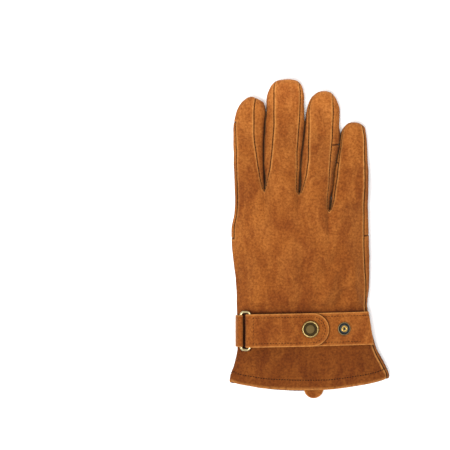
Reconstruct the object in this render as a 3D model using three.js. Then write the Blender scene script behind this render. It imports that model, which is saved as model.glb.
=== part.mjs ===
// A suede dress glove for the right hand, lying palm down with its thumb folded under the palm.
// Millimetres: +Y runs to the fingertips, +X to the little finger, +Z up, and it rests on z = 0.
// Every leather panel is cut from one closed outer surface, thickened inwards, so the glove is
// hollow from its open cuff to its fingertips and its seams are narrow gaps between the panels.
import * as THREE from "three";
import { mergeVertices } from "three/addons/utils/BufferGeometryUtils.js";

// Leather
const WALL = 1.4;
const SEAM_GAP = 0.4;
const SNAP_GAP = 0.5;
const THUMB_CLEARANCE = 0.9;

// The leather's inner face moves in by at most 1 / MITRE_LEAST walls where the leather turns sharply
const MITRE_LEAST = 0.75;

// How finely the surface is divided. Finger rows close up towards the tip by the power.
const FINGER_ROWS = 11;
const FINGER_ROW_POWER = 1.35;
const STRIP_COLUMNS = 5;
const SIDE_COLUMNS = 4;
const HAND_ROWS = 20;
const THUMB_ROWS = 13;

// Cross sections are rounded boxes: 2 is an ellipse, more is squarer
const FINGER_SQUARENESS = 2.4;
const HAND_SQUARENESS = 2.6;

// Finger heights
const TIP_MIDDLE_HEIGHT = 6.4;
const TIP_HALF_THICKNESS = 7;
const ROOT_HALF_THICKNESS = 8;
const TIP_ROUNDING = 8;
const FURROW_DEPTH_BACK = 5;
const FURROW_DEPTH_PALM = 1.5;
const FURROW_LENGTH = 18;

// How far along a finger its strips and its walls start to take on the hand's shape
const STRIP_JOINS_HAND = 0.72;
const WALL_JOINS_HAND = 0.75;
const TIP_ARC_END = 0.3;
const TIP_ARC_POWER = 2.2;

// Outline of each finger from above. along: 0 at the tip, 1 at the fork. edge: the outermost
// leather. seam: where the back strip ends. palm: where the palm strip ends underneath.
const FINGER_COLUMNS = [
  "along", "edgeLeft", "seamLeft", "seamRight", "edgeRight", "palmLeft", "palmRight",
];
const INDEX_OUTLINE = [
  [0.0, -50.0, -50.0, -42.6, -42.6, -50.0, -42.6],
  [0.05, -54.2, -53.5, -43.3, -36.5, -53.0, -40.0],
  [0.15, -58.3, -57.0, -44.0, -34.8, -55.0, -37.5],
  [0.35, -61.0, -59.2, -44.0, -35.2, -54.5, -37.2],
  [0.65, -60.3, -58.2, -41.5, -35.9, -50.5, -37.2],
  [1.0, -59.5, -57.5, -36.0, -36.0, -45.5, -34.5],
];
const MIDDLE_OUTLINE = [
  [0.0, -26.5, -26.5, -8.2, -8.2, -26.5, -8.2],
  [0.05, -30.4, -27.9, -7.1, -5.3, -27.5, -7.8],
  [0.15, -33.3, -28.0, -6.7, -3.9, -27.0, -7.0],
  [0.35, -34.0, -28.0, -7.5, -3.8, -26.0, -6.5],
  [0.65, -35.4, -30.0, -9.5, -6.6, -27.5, -8.0],
  [1.0, -36.0, -36.0, -8.3, -8.3, -34.5, -7.2],
];
const RING_OUTLINE = [
  [0.0, 5.7, 5.7, 19.2, 19.2, 5.7, 19.2],
  [0.05, 2.1, 2.7, 19.8, 22.5, 3.2, 19.8],
  [0.15, -1.0, 0.2, 19.8, 25.3, 2.0, 20.2],
  [0.35, -3.5, -0.1, 19.0, 24.8, 1.8, 20.0],
  [0.65, -5.9, -0.8, 16.5, 19.4, 0.0, 18.0],
  [1.0, -8.3, -8.3, 15.8, 15.8, -7.2, 17.6],
];
const LITTLE_OUTLINE = [
  [0.0, 29.2, 29.2, 42.2, 42.2, 29.2, 42.2],
  [0.05, 27.2, 27.7, 43.4, 45.0, 29.0, 42.6],
  [0.15, 25.7, 26.4, 44.4, 46.0, 30.5, 43.2],
  [0.35, 22.9, 24.2, 44.8, 47.2, 31.0, 44.0],
  [0.65, 18.0, 21.5, 44.8, 47.8, 27.5, 44.4],
  [1.0, 15.8, 15.8, 44.5, 47.9, 17.6, 44.4],
];

// Length of each finger: cornerY where its sides meet the tip, apexY the tip itself, and how far
// down each side its back strip and its palm strip go.
const FINGER_LENGTH_COLUMNS = [
  "cornerY", "apexY", "backLeftY", "backRightY", "palmLeftY", "palmRightY",
];
const FINGER_LENGTHS = {
  index: [112.8, 114.0, 38.4, 38.4, 40.5, 40.5],
  middle: [126.4, 128.1, 38.4, 36.0, 40.5, 38.0],
  ring: [116.8, 119.1, 36.0, 22.4, 38.0, 25.0],
  little: [92.0, 94.0, 22.4, 22.4, 25.0, 25.0],
};

// The hand, wrist and cuff in sections across the glove. sideSeam: the seam under the index side.
// backSeam: the seam on top of the little-finger side. zLeft, zRight: height of the middle of each
// edge. arch: how far the middle of the section rises. half: half its thickness.
const HAND_COLUMNS = [
  "y", "edgeLeft", "sideSeam", "backSeam", "edgeRight", "zLeft", "zRight", "arch", "half",
];
const HAND_SECTIONS = [
  [44, -59.8, -45.5, 44.5, 47.9, 12.5, 8.5, 12.5, 8.0],
  [32, -59.2, -46.5, 44.5, 47.9, 12.5, 8.5, 12.6, 8.0],
  [22, -59.6, -48.0, 44.4, 47.9, 12.5, 8.5, 12.8, 8.0],
  [8, -61.9, -52.0, 44.3, 48.1, 12.3, 8.4, 12.8, 8.0],
  [-6, -61.6, -56.5, 44.3, 48.6, 12.0, 8.3, 12.5, 8.1],
  [-18, -60.2, -57.0, 44.7, 48.7, 11.2, 8.1, 11.8, 8.1],
  [-37, -58.4, -55.0, 45.7, 48.4, 9.7, 8.0, 9.8, 8.0],
  [-53, -57.7, -54.0, 45.5, 46.8, 8.7, 8.0, 6.5, 7.7],
  [-65, -57.4, -53.0, 47.0, 48.6, 8.4, 8.0, 4.6, 7.6],
  [-86, -57.4, -52.8, 51.7, 54.0, 8.2, 8.0, 3.6, 7.6],
  [-101, -60.4, -54.5, 59.3, 61.7, 8.0, 8.0, 1.0, 7.7],
  [-109, -63.0, -57.0, 62.6, 64.4, 7.9, 7.9, 0.2, 8.0],
  [-122, -65.0, -59.0, 63.5, 65.2, 7.8, 7.8, 0.0, 8.0],
];

// The cuff's edge from above, and how much further down the palm side reaches in the middle
const HEM_COLUMNS = ["x", "y"];
const HEM_LINE = [
  [-65, -113.4],
  [-58, -116.1],
  [-47, -118.0],
  [-36, -119.7],
  [-3, -121.0],
  [12, -120.8],
  [39, -117.6],
  [61, -112.8],
  [65, -109.6],
];
const PALM_HEM_DROP = { depth: 1.3, centreX: -12, halfWidth: 32 };

// The hole in the palm that the thumb is sewn into, clockwise from above, and the palm patch
const THUMB_HOLE = [
  [-52.2, -2.2], [-42.0, 3.0], [-28.0, 2.0], [-16.0, -6.0],
  [-9.8, -18.0], [-10.2, -30.0], [-12.5, -42.0], [-17.5, -53.0],
  [-25.2, -60.3], [-33.0, -54.0], [-38.5, -41.0], [-43.0, -27.0], [-47.0, -14.0],
];
const HOLE_FIRST_ROW = 5;
const HOLE_FIRST_COLUMN = 1;
const HOLE_SIZE = 7;
const PATCH_EDGE = [
  [8.0, 14.4], [3.0, 6.0], [2.4, -16.0], [2.4, -31.0], [-3.5, -51.5],
  [-12.5, -60.5], [-21.0, -68.0], [-26.0, -76.0], [-28.5, -88.0], [-30.9, -120.8],
];
const PATCH_TOP_Y = 14.4;
const PATCH_FIRST_ROW = 3;
const PATCH_FIRST_COLUMN = 10;
const PATCH_CORNER_OUT = 3;
const RELAXING_PASSES = 80;

// The thumb past its hole, in stations from the crotch to the tip: both edges from above, its top
const THUMB_COLUMNS = ["along", "leftX", "leftY", "rightX", "rightY", "top"];
const THUMB_STATIONS = [
  [0.0, -51.0, 3.0, -9.0, -18.0, 10.5],
  [0.15, -46.5, 9.0, -4.5, -9.0, 11.5],
  [0.4, -37.0, 24.5, 1.8, 8.0, 11.5],
  [0.65, -27.5, 40.0, 6.2, 27.0, 10.5],
  [0.85, -18.0, 54.0, 9.6, 41.5, 9.0],
  [0.95, -13.0, 60.0, 10.8, 49.5, 8.0],
  [1.0, -8.0, 62.9, 7.0, 58.5, 7.6],
];
const THUMB_BEND_ROWS = 5;
const THUMB_BEND_END = 0.13;
const THUMB_TIP_ROUNDING = 0.11;
const THUMB_FIRST_ANGLE = 0.75;
const THUMB_SAG = 1.1;
const THUMB_DROP_POWER = 2.4;
const THUMB_ROW_POWER = 0.8;

// Where the pieces change. The back's seam on the index side and the palm's on the other lie a
// little in from the edge.
const BACK_SEAM_IN = 2;
const PALM_SEAM_IN = 3;
const SIDE_PANEL_FIRST_ROW = 4;
const SIDE_PANEL_LAST_HAND_ROW = 5;
const GUSSET_FIRST_ROW = 6;
const GUSSET_COLUMNS = 2;
const GUSSET_HAND_ROWS = 1;

// Wrist strap: a band that is sewn in at the little-finger side, goes through the ring and back
const STRAP = {
  width: 26.6, thickness: 1.8, middleY: -72.4, tilt: 0.022, rightX: 49.8, tongueEndX: 15.8,
};
const STRAP_END_SLANT = 0.15;
const STRAP_SLANT_STATIONS = 3;
const STRAP_LIFT = 0.6;
const STRAP_SPLIT = 0.6;
const STRAP_FOLD_X = -50.8;
const STRAP_STATIONS = 26;
const TONGUE_STATIONS = 14;

// The oval metal ring and the leather keeper that holds its other bar
const RING = { centreX: -50.8, centreY: -73.5, width: 11.4, length: 32.2, wire: 2, squareness: 5 };
const RING_SIDES = 6;
const RING_STEPS = 32;
const KEEPER = { width: 25.2, thickness: 1.0, topRightX: -52.6, outsideGap: 0.52 };

// Snap fastener
const CAP = { x: 0.7, y: -71.8, radius: 6.9, height: 2.6 };
const STUD = { x: 27.4, y: -71.6, radius: 5.3, height: 1.6, postRadius: 2.4, postHeight: 3 };
const ROUND_SEGMENTS = 24;

// Pull tab at the cuff
const TAB = { x: 4.1, halfWidth: 7.8, tipY: -128.2, rootY: -108, thickness: 1.4 };

const FINISHES = {
  suede: { color: 0xa9652b, roughness: 0.95, metalness: 0 },
  darkSuede: { color: 0x8d521f, roughness: 0.95, metalness: 0 },
  brass: { color: 0xc9b98a, roughness: 0.35, metalness: 1 },
  antiqueBrass: { color: 0x6f5a32, roughness: 0.45, metalness: 1 },
  darkBrass: { color: 0x4a4438, roughness: 0.5, metalness: 1 },
};

const { lerp, clamp, smoothstep } = THREE.MathUtils;
const vector = (x, y, z = 0) => new THREE.Vector3(x, y, z);
const signedPower = (value, power) => Math.sign(value) * Math.abs(value) ** power;

// A smooth curve through one column of a table that never overshoots its rows.
function column(columns, rows, name) {
  const at = rows.map((row) => row[0]);
  const values = rows.map((row) => row[columns.indexOf(name)]);
  if (at[0] > at[at.length - 1]) {
    at.reverse();
    values.reverse();
  }
  const last = at.length - 1;
  const rise = (i) => (values[i + 1] - values[i]) / (at[i + 1] - at[i]);
  const slope = (i) => {
    if (i === 0) return rise(0);
    if (i === last) return rise(last - 1);
    const product = rise(i - 1) * rise(i);
    return product > 0 ? (2 * product) / (rise(i - 1) + rise(i)) : 0;
  };
  return (x) => {
    if (x <= at[0]) return values[0];
    if (x >= at[last]) return values[last];
    const i = at.findIndex((value) => value > x) - 1;
    const span = at[i + 1] - at[i];
    const t = (x - at[i]) / span;
    const start = values[i] * (2 * t ** 3 - 3 * t ** 2 + 1) + slope(i) * span * (t ** 3 - 2 * t ** 2 + t);
    return start + values[i + 1] * (3 * t ** 2 - 2 * t ** 3) + slope(i + 1) * span * (t ** 3 - t ** 2);
  };
}

function table(columns, rows) {
  return Object.fromEntries(columns.slice(1).map((name) => [name, column(columns, rows, name)]));
}

const hand = table(HAND_COLUMNS, HAND_SECTIONS);
const hemY = table(HEM_COLUMNS, HEM_LINE).y;

// Height of a rounded box's wall over its middle, 1 at the centre and 0 at its edges.
const crown = (u, squareness) => (1 - Math.min(1, Math.abs(u)) ** squareness) ** (1 / squareness);

function handAcross(x, y) {
  const centre = (hand.edgeLeft(y) + hand.edgeRight(y)) / 2;
  return clamp((x - centre) / (hand.edgeRight(y) - centre), -1, 1);
}

function handMiddle(x, y) {
  const u = handAcross(x, y);
  return lerp(hand.zLeft(y), hand.zRight(y), (u + 1) / 2) + hand.arch(y) * (1 - u * u);
}

function handTop(x, y) {
  return handMiddle(x, y) + hand.half(y) * crown(handAcross(x, y), HAND_SQUARENESS);
}

function handBottom(x, y) {
  return Math.max(0, handMiddle(x, y) - hand.half(y) * crown(handAcross(x, y), HAND_SQUARENESS));
}

// The bulge of a side wall past the straight line between its two seams, at fraction t from the
// upper seam to the lower one. sign is 1 for the right side and -1 for the left.
function sideBulge(section, upperX, lowerX, sign, t) {
  const angle = (x) => {
    const u = clamp(((x - section.centre) / section.half) * sign, -1, 1);
    return Math.acos(signedPower(u, section.power / 2));
  };
  const at = (phi) =>
    vector(
      section.centre + sign * section.half * signedPower(Math.cos(phi), 2 / section.power),
      0,
      section.thickness * signedPower(Math.sin(phi), 2 / section.power),
    );
  const upper = angle(upperX);
  const lower = -angle(lowerX);
  return at(lerp(upper, lower, t)).sub(at(upper).lerp(at(lower), t));
}

function handSection(y) {
  const centre = (hand.edgeLeft(y) + hand.edgeRight(y)) / 2;
  return { centre, half: hand.edgeRight(y) - centre, thickness: hand.half(y), power: HAND_SQUARENESS };
}

// One finger: its outline from above and its rounded-box section at any station.
class Finger {
  constructor(name, outline, furrowLeft, furrowRight) {
    this.name = name;
    this.outline = table(FINGER_COLUMNS, outline);
    this.length = Object.fromEntries(
      FINGER_LENGTH_COLUMNS.map((column, i) => [column, FINGER_LENGTHS[name][i]]),
    );
    this.furrowLeft = furrowLeft;
    this.furrowRight = furrowRight;
    const rootY = (this.length.backLeftY + this.length.backRightY) / 2;
    const rootX = (this.outline.edgeLeft(1) + this.outline.edgeRight(1)) / 2;
    this.rootMiddle = handMiddle(rootX, rootY);
  }

  section(along) {
    const left = this.outline.edgeLeft(along);
    const right = this.outline.edgeRight(along);
    const fromTip = along * (this.length.cornerY - this.length.backRightY);
    const nose = 1 - Math.min(1, fromTip / TIP_ROUNDING);
    const full = lerp(TIP_HALF_THICKNESS, ROOT_HALF_THICKNESS, along);
    return {
      centre: (left + right) / 2,
      half: Math.max(0.01, (right - left) / 2),
      middle: lerp(TIP_MIDDLE_HEIGHT, this.rootMiddle, smoothstep(along, 0.2, 0.9)),
      thickness: full * crown(nose, FINGER_SQUARENESS),
      power: FINGER_SQUARENESS,
    };
  }

  // How much a point across a strip takes part in the furrow beside it.
  furrow(across) {
    const side = across < 0.5 ? this.furrowLeft : this.furrowRight;
    return side ? Math.abs(2 * across - 1) ** 3 : 0;
  }

  // A point of the back strip (up = 1) or of the palm strip (up = -1).
  strip(along, across, up) {
    const { cornerY, apexY, backLeftY, backRightY, palmLeftY, palmRightY } = this.length;
    const left = up > 0 ? this.outline.seamLeft(along) : this.outline.palmLeft(along);
    const right = up > 0 ? this.outline.seamRight(along) : this.outline.palmRight(along);
    const rootY = up > 0 ? lerp(backLeftY, backRightY, across) : lerp(palmLeftY, palmRightY, across);
    const arc = 1 - Math.abs(2 * across - 1) ** TIP_ARC_POWER;
    const tipArc = (apexY - cornerY) * arc * (1 - smoothstep(along, 0, TIP_ARC_END));
    const x = lerp(left, right, across);
    const y = lerp(cornerY, rootY, along) + tipArc;
    const section = this.section(along);
    const wall = section.thickness * crown((x - section.centre) / section.half, FINGER_SQUARENESS);
    const blend = smoothstep(along, STRIP_JOINS_HAND, 1);
    if (up > 0) {
      const handHeight = handTop(x, y) - FURROW_DEPTH_BACK * this.furrow(across);
      return vector(x, y, lerp(section.middle + wall, handHeight, blend));
    }
    const handHeight = handBottom(x, y) + FURROW_DEPTH_PALM * this.furrow(across);
    return vector(x, y, Math.max(0, lerp(section.middle - wall, handHeight, blend)));
  }

  // A side wall between the two strips: it runs out into the fork, or on into the hand's side.
  wall(along, t, sign) {
    const across = sign > 0 ? 1 : 0;
    const upper = this.strip(along, across, 1);
    const lower = this.strip(along, across, -1);
    const inner = sideBulge(this.section(along), upper.x, lower.x, sign, t);
    const hasFork = sign > 0 ? this.furrowRight : this.furrowLeft;
    const blend = smoothstep(along, WALL_JOINS_HAND, 1);
    const target = hasFork ? vector(0, 0) : sideBulge(handSection(upper.y), upper.x, lower.x, sign, t);
    return upper.lerp(lower, t).add(inner.lerp(target, blend));
  }
}

// The closed outer surface: quads that share their corners, each with the panel it belongs to.
class Surface {
  points = [];
  faces = [];
  ids = new Map();

  id(point) {
    const key = point.toArray().map((value) => Math.round(value * 1000)).join();
    if (!this.ids.has(key)) {
      this.ids.set(key, this.points.length);
      this.points.push(point.clone());
    }
    return this.ids.get(key);
  }

  face(panel, corners) {
    const named = corners.map((corner) => this.id(corner));
    const ids = named.filter((id, i) => id !== named[(i + 1) % named.length]);
    if (ids.length === 4) {
      const [a, b, c, d] = ids.map((id) => this.points[id]);
      const pairs = a.distanceTo(c) < b.distanceTo(d) ? [[0, 1, 2], [0, 2, 3]] : [[0, 1, 3], [1, 2, 3]];
      pairs.forEach((pair) => this.faces.push({ panel, ids: pair.map((i) => ids[i]) }));
    } else if (ids.length === 3) {
      this.faces.push({ panel, ids });
    }
  }

  // A patch of rows and columns; outward is 1 where rows down and columns right face out.
  patch(rows, outward, panelAt) {
    for (let r = 0; r + 1 < rows.length; r += 1) {
      for (let c = 0; c + 1 < rows[r].length; c += 1) {
        const panel = panelAt(r, c);
        if (panel) {
          const corners = [rows[r][c], rows[r + 1][c], rows[r + 1][c + 1], rows[r][c + 1]];
          this.face(panel, outward > 0 ? corners : corners.reverse());
        }
      }
    }
  }

  faceNormal(ids) {
    const [a, b, c] = ids.map((id) => this.points[id]);
    return b.clone().sub(a).cross(c.clone().sub(a)).normalize();
  }

  // The inner face of the leather: each point moved in by the wall along its average normal.
  innerPoints() {
    const normals = this.points.map(() => vector(0, 0));
    const around = this.points.map(() => []);
    this.faces.forEach(({ ids }) => {
      const normal = this.faceNormal(ids);
      ids.forEach((id, i) => {
        const here = this.points[id];
        const before = this.points[ids[(i + 2) % 3]].clone().sub(here);
        const after = this.points[ids[(i + 1) % 3]].clone().sub(here);
        normals[id].addScaledVector(normal, before.angleTo(after));
        around[id].push(normal);
      });
    });
    return this.points.map((point, id) => {
      const normal = normals[id].normalize();
      const total = around[id].reduce((sum, other) => sum + Math.max(0, other.dot(normal)), 0);
      const facing = total / around[id].length;
      return point.clone().addScaledVector(normal, -WALL / clamp(facing, MITRE_LEAST, 1));
    });
  }

  // One panel as a closed solid, drawn back from its seams by half the gap.
  solid(panel, inner) {
    const faces = this.faces.filter((face) => face.panel === panel).map((face) => face.ids);
    const sewn = new Set(this.faces.flatMap(({ ids }) => ids.map((id, i) => id + ">" + ids[(i + 1) % 3])));
    const own = new Set(faces.flatMap((ids) => ids.map((id, i) => id + ">" + ids[(i + 1) % 3])));
    const inward = new Map();
    const rim = [];
    faces.forEach((ids) => {
      const normal = this.faceNormal(ids);
      ids.forEach((from, i) => {
        const to = ids[(i + 1) % 3];
        if (own.has(to + ">" + from)) return;
        rim.push([from, to]);
        if (!sewn.has(to + ">" + from)) return;
        const along = this.points[to].clone().sub(this.points[from]);
        const direction = normal.clone().cross(along).normalize();
        [from, to].forEach((id) => inward.set(id, [...(inward.get(id) ?? []), direction]));
      });
    });
    const drawnBack = (point, id) => {
      const directions = inward.get(id);
      if (!directions) return point.clone();
      const sum = directions.reduce((total, direction) => total.add(direction), vector(0, 0));
      const reach = clamp(sum.lengthSq() / directions.length, 0.25, 2);
      return point.clone().addScaledVector(sum, SEAM_GAP / 2 / reach);
    };
    const used = [...new Set(faces.flat())];
    const order = new Map(used.map((id, i) => [id, i]));
    const outerAt = (id) => order.get(id);
    const innerAt = (id) => order.get(id) + used.length;
    const positions = [
      ...used.map((id) => drawnBack(this.points[id], id)),
      ...used.map((id) => drawnBack(inner[id], id)),
    ];
    const index = faces.flatMap(([a, b, c]) => [
      outerAt(a), outerAt(b), outerAt(c), innerAt(a), innerAt(c), innerAt(b),
    ]);
    // Both panels at a seam split their facing edges along the same diagonal.
    rim.forEach(([from, to]) => {
      if (from < to) {
        index.push(outerAt(to), outerAt(from), innerAt(from), outerAt(to), innerAt(from), innerAt(to));
      } else {
        index.push(outerAt(to), outerAt(from), innerAt(to), outerAt(from), innerAt(from), innerAt(to));
      }
    });
    return indexed(positions, index);
  }
}

function indexed(points, index) {
  const geometry = new THREE.BufferGeometry().setFromPoints(points);
  geometry.setIndex(index);
  geometry.computeVertexNormals();
  return geometry;
}

const range = (count) => Array.from({ length: count }, (_, i) => i);

// Rows of the hand from its forks to the hem, one list of points for each row.
function handRows(first, leftX, rightX, height, hem) {
  const count = first.length - 1;
  const start = first.map((point) => (point.x - leftX(point.y)) / (rightX(point.y) - leftX(point.y)));
  return range(HAND_ROWS + 1).map((r) => {
    const down = r / HAND_ROWS;
    if (r === 0) return first;
    return first.map((point, c) => {
      const across = lerp(start[c], c / count, smoothstep(down, 0, 0.45));
      const endX = lerp(leftX(hemY(0)), rightX(hemY(0)), c / count);
      const y = lerp(point.y, hem(endX), down);
      const x = lerp(leftX(y), rightX(y), across);
      return vector(x, y, height(x, y));
    });
  });
}

// The furrows that run down from the forks into the hand.
function furrowAt(fingers, column, belowFork, depth) {
  const finger = fingers[Math.min(fingers.length - 1, Math.floor(column / STRIP_COLUMNS))];
  const across = (column - STRIP_COLUMNS * fingers.indexOf(finger)) / STRIP_COLUMNS;
  return depth * finger.furrow(across) * Math.exp(-((belowFork / FURROW_LENGTH) ** 2));
}

// Points spread evenly along a closed or open line of [x, y] pairs.
function spread(pairs, count, closed) {
  const curve = new THREE.CatmullRomCurve3(pairs.map(([x, y]) => vector(x, y)), closed, "centripetal");
  return curve.getSpacedPoints(count);
}

// The palm from above, its grid eased round the thumb hole and the edge of the palm patch.
function easePalm(rows, hole) {
  const pinned = rows.map((row) => row.map(() => false));
  const pin = (r, c, x, y) => {
    rows[r][c].x = x;
    rows[r][c].y = y;
    pinned[r][c] = true;
  };
  const lastRow = rows.length - 1;
  const lastColumn = rows[0].length - 1;
  holeCorners().forEach(([r, c], i) => pin(r, c, hole[i].x, hole[i].y));
  const patch = spread(PATCH_EDGE, lastRow - PATCH_FIRST_ROW, false);
  patch.forEach((point, i) => pin(PATCH_FIRST_ROW + i, PATCH_FIRST_COLUMN, point.x, point.y));
  pin(lastRow, PATCH_FIRST_COLUMN, patch.at(-1).x, rows[lastRow][PATCH_FIRST_COLUMN].y);
  for (let c = PATCH_FIRST_COLUMN + 1; c < lastColumn; c += 1) {
    const across = (c - PATCH_FIRST_COLUMN) / (lastColumn - PATCH_FIRST_COLUMN);
    const rightX = rows[PATCH_FIRST_ROW][lastColumn].x;
    pin(PATCH_FIRST_ROW, c, lerp(patch[0].x + PATCH_CORNER_OUT, rightX, across), PATCH_TOP_Y);
  }
  for (let pass = 0; pass < RELAXING_PASSES; pass += 1) {
    for (let r = 1; r <= lastRow; r += 1) {
      for (let c = 1; c < lastColumn; c += 1) {
        if (!pinned[r][c]) {
          if (r < lastRow) {
            const near = [rows[r - 1][c], rows[r + 1][c], rows[r][c - 1], rows[r][c + 1]];
            rows[r][c].x = near.reduce((sum, point) => sum + point.x, 0) / 4;
            rows[r][c].y = near.reduce((sum, point) => sum + point.y, 0) / 4;
          } else {
            rows[r][c].x = (rows[r][c - 1].x + rows[r][c + 1].x) / 2;
          }
        }
      }
    }
  }
}

// Grid places round the thumb hole, clockwise from above, starting at its upper left corner.
function holeCorners() {
  const top = HOLE_FIRST_ROW;
  const left = HOLE_FIRST_COLUMN;
  const bottom = top + HOLE_SIZE;
  const right = left + HOLE_SIZE;
  return [
    ...range(HOLE_SIZE).map((i) => [top, left + i]),
    ...range(HOLE_SIZE).map((i) => [top + i, right]),
    ...range(HOLE_SIZE).map((i) => [bottom, right - i]),
    ...range(HOLE_SIZE).map((i) => [bottom - i, left]),
  ];
}

const between = (value, first, size) => value >= first && value < first + size;
const inHole = (r, c) => between(r, HOLE_FIRST_ROW, HOLE_SIZE) && between(c, HOLE_FIRST_COLUMN, HOLE_SIZE);

// Rings of the thumb from its hole to its tip. It drops out of the palm, bends and lies flat.
function thumbRings(hole) {
  const station = table(THUMB_COLUMNS, THUMB_STATIONS);
  const around = hole.length;
  const ringPoint = (along, j) => {
    const phi = Math.PI * (THUMB_FIRST_ANGLE - (2 * j) / around);
    const across = (signedPower(Math.cos(phi), 2 / FINGER_SQUARENESS) + 1) / 2;
    const x = lerp(station.leftX(along), station.rightX(along), across);
    const y = lerp(station.leftY(along), station.rightY(along), across);
    const nose = 1 - Math.min(1, (1 - along) / THUMB_TIP_ROUNDING);
    const half = station.top(along) / 2;
    const rise = signedPower(Math.sin(phi), 2 / FINGER_SQUARENESS);
    const reach = half * crown(nose, FINGER_SQUARENESS) * rise;
    const top = Math.max(1, handBottom(x, y) - THUMB_CLEARANCE);
    return vector(x, y, clamp(half + reach * (reach < 0 ? THUMB_SAG : 1), 0, top));
  };
  return range(THUMB_ROWS + 1).map((k) => {
    if (k === 0) return hole;
    if (k > THUMB_BEND_ROWS) {
      const pastBend = (k - THUMB_BEND_ROWS) / (THUMB_ROWS - THUMB_BEND_ROWS);
      const along = lerp(THUMB_BEND_END, 1, pastBend ** THUMB_ROW_POWER);
      return range(around).map((j) => ringPoint(along, j));
    }
    const turned = k / THUMB_BEND_ROWS;
    return hole.map((start, j) => {
      const end = ringPoint(THUMB_BEND_END, j);
      const drop = 1 - (1 - turned) ** THUMB_DROP_POWER;
      return vector(
        lerp(start.x, end.x, turned),
        lerp(start.y, end.y, turned),
        lerp(start.z, end.z, drop),
      );
    });
  });
}

function buildLeather() {
  const fingers = [
    new Finger("index", INDEX_OUTLINE, false, true),
    new Finger("middle", MIDDLE_OUTLINE, true, true),
    new Finger("ring", RING_OUTLINE, true, true),
    new Finger("little", LITTLE_OUTLINE, true, false),
  ];
  const surface = new Surface();
  const stations = range(FINGER_ROWS + 1).map((k) => (k / FINGER_ROWS) ** FINGER_ROW_POWER);
  const rightPanels = [
    "fourchette_index_middle", "fourchette_middle_ring", "fourchette_ring", "palm_panel",
  ];
  const leftPanels = [
    "index_side_panel", "fourchette_index_middle", "fourchette_middle_ring", "fourchette_little",
  ];
  const roots = { back: [], palm: [] };
  fingers.forEach((finger, f) => {
    const grid = (columns, pointAt) =>
      stations.map((along) => range(columns + 1).map((c) => pointAt(along, c / columns)));
    const strip = (up) => grid(STRIP_COLUMNS, (along, across) => finger.strip(along, across, up));
    const wall = (sign) => grid(SIDE_COLUMNS, (along, t) => finger.wall(along, t, sign));
    const back = strip(1);
    const palm = strip(-1);
    const inGusset = (r, c) =>
      r >= GUSSET_FIRST_ROW &&
      ((finger.name === "ring" && c >= STRIP_COLUMNS - GUSSET_COLUMNS) ||
        (finger.name === "little" && c < GUSSET_COLUMNS));
    surface.patch(back, 1, () => "back_panel");
    surface.patch(palm, -1, (r, c) => (inGusset(r, c) ? "ring_little_gusset" : "palm_panel"));
    surface.patch(wall(1), 1, (r) =>
      finger.name === "ring" && r >= GUSSET_FIRST_ROW ? "ring_little_gusset" : rightPanels[f],
    );
    surface.patch(wall(-1), -1, (r, c) => {
      if (finger.name === "index" && r < SIDE_PANEL_FIRST_ROW) {
        return c < SIDE_COLUMNS / 2 ? "back_panel" : "palm_panel";
      }
      return finger.name === "little" && r >= GUSSET_FIRST_ROW ? "ring_little_gusset" : leftPanels[f];
    });
    roots.back.push(...back.at(-1).slice(f === 0 ? 0 : 1));
    roots.palm.push(...palm.at(-1).slice(f === 0 ? 0 : 1));
  });

  const backLeftX = (y) => hand.edgeLeft(y) + BACK_SEAM_IN;
  const palmRightX = (y) => hand.edgeRight(y) - PALM_SEAM_IN;
  const palmHem = (x) => {
    const away = (x - PALM_HEM_DROP.centreX) / PALM_HEM_DROP.halfWidth;
    return hemY(x) - PALM_HEM_DROP.depth * Math.max(0, 1 - away * away);
  };
  const back = handRows(roots.back, backLeftX, hand.backSeam, handTop, hemY);
  const palm = handRows(roots.palm, hand.sideSeam, palmRightX, handBottom, palmHem);
  const hole = spread(THUMB_HOLE, 4 * HOLE_SIZE, true).slice(0, 4 * HOLE_SIZE);
  easePalm(palm, hole);
  back.slice(1).forEach((row) =>
    row.forEach((point, c) => {
      point.z -= furrowAt(fingers, c, roots.back[c].y - point.y, FURROW_DEPTH_BACK);
    }),
  );
  palm.slice(1).forEach((row) =>
    row.forEach((point, c) => {
      const furrow = furrowAt(fingers, c, roots.palm[c].y - point.y, FURROW_DEPTH_PALM);
      point.z = handBottom(point.x, point.y) + furrow;
    }),
  );

  const inPatch = (r, c) => r >= PATCH_FIRST_ROW && c >= PATCH_FIRST_COLUMN;
  const gussetMiddle = 3 * STRIP_COLUMNS;
  surface.patch(back, 1, () => "back_panel");
  surface.patch(palm, -1, (r, c) => {
    if (inHole(r, c)) return null;
    if (inPatch(r, c)) return "palm_heel_panel";
    const inGusset = r < GUSSET_HAND_ROWS && between(c, gussetMiddle - GUSSET_COLUMNS, 2 * GUSSET_COLUMNS);
    return inGusset ? "ring_little_gusset" : "palm_panel";
  });
  const side = (sign) =>
    range(HAND_ROWS + 1).map((r) => {
      const upper = sign > 0 ? back[r].at(-1) : back[r][0];
      const lower = sign > 0 ? palm[r].at(-1) : palm[r][0];
      return range(SIDE_COLUMNS + 1).map((c) => {
        const t = c / SIDE_COLUMNS;
        const bulge = sideBulge(handSection(upper.y), upper.x, lower.x, sign, t);
        return upper.clone().lerp(lower, t).add(bulge);
      });
    });
  surface.patch(side(1), 1, (r) => (r >= PATCH_FIRST_ROW ? "palm_heel_panel" : "palm_panel"));
  surface.patch(side(-1), -1, (r) => (r < SIDE_PANEL_LAST_HAND_ROW ? "index_side_panel" : "back_panel"));

  const rings = thumbRings(holeCorners().map(([r, c]) => palm[r][c]));
  surface.patch(rings.map((ring) => [...ring, ring[0]]), -1, () => "thumb");
  return surface;
}

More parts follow.
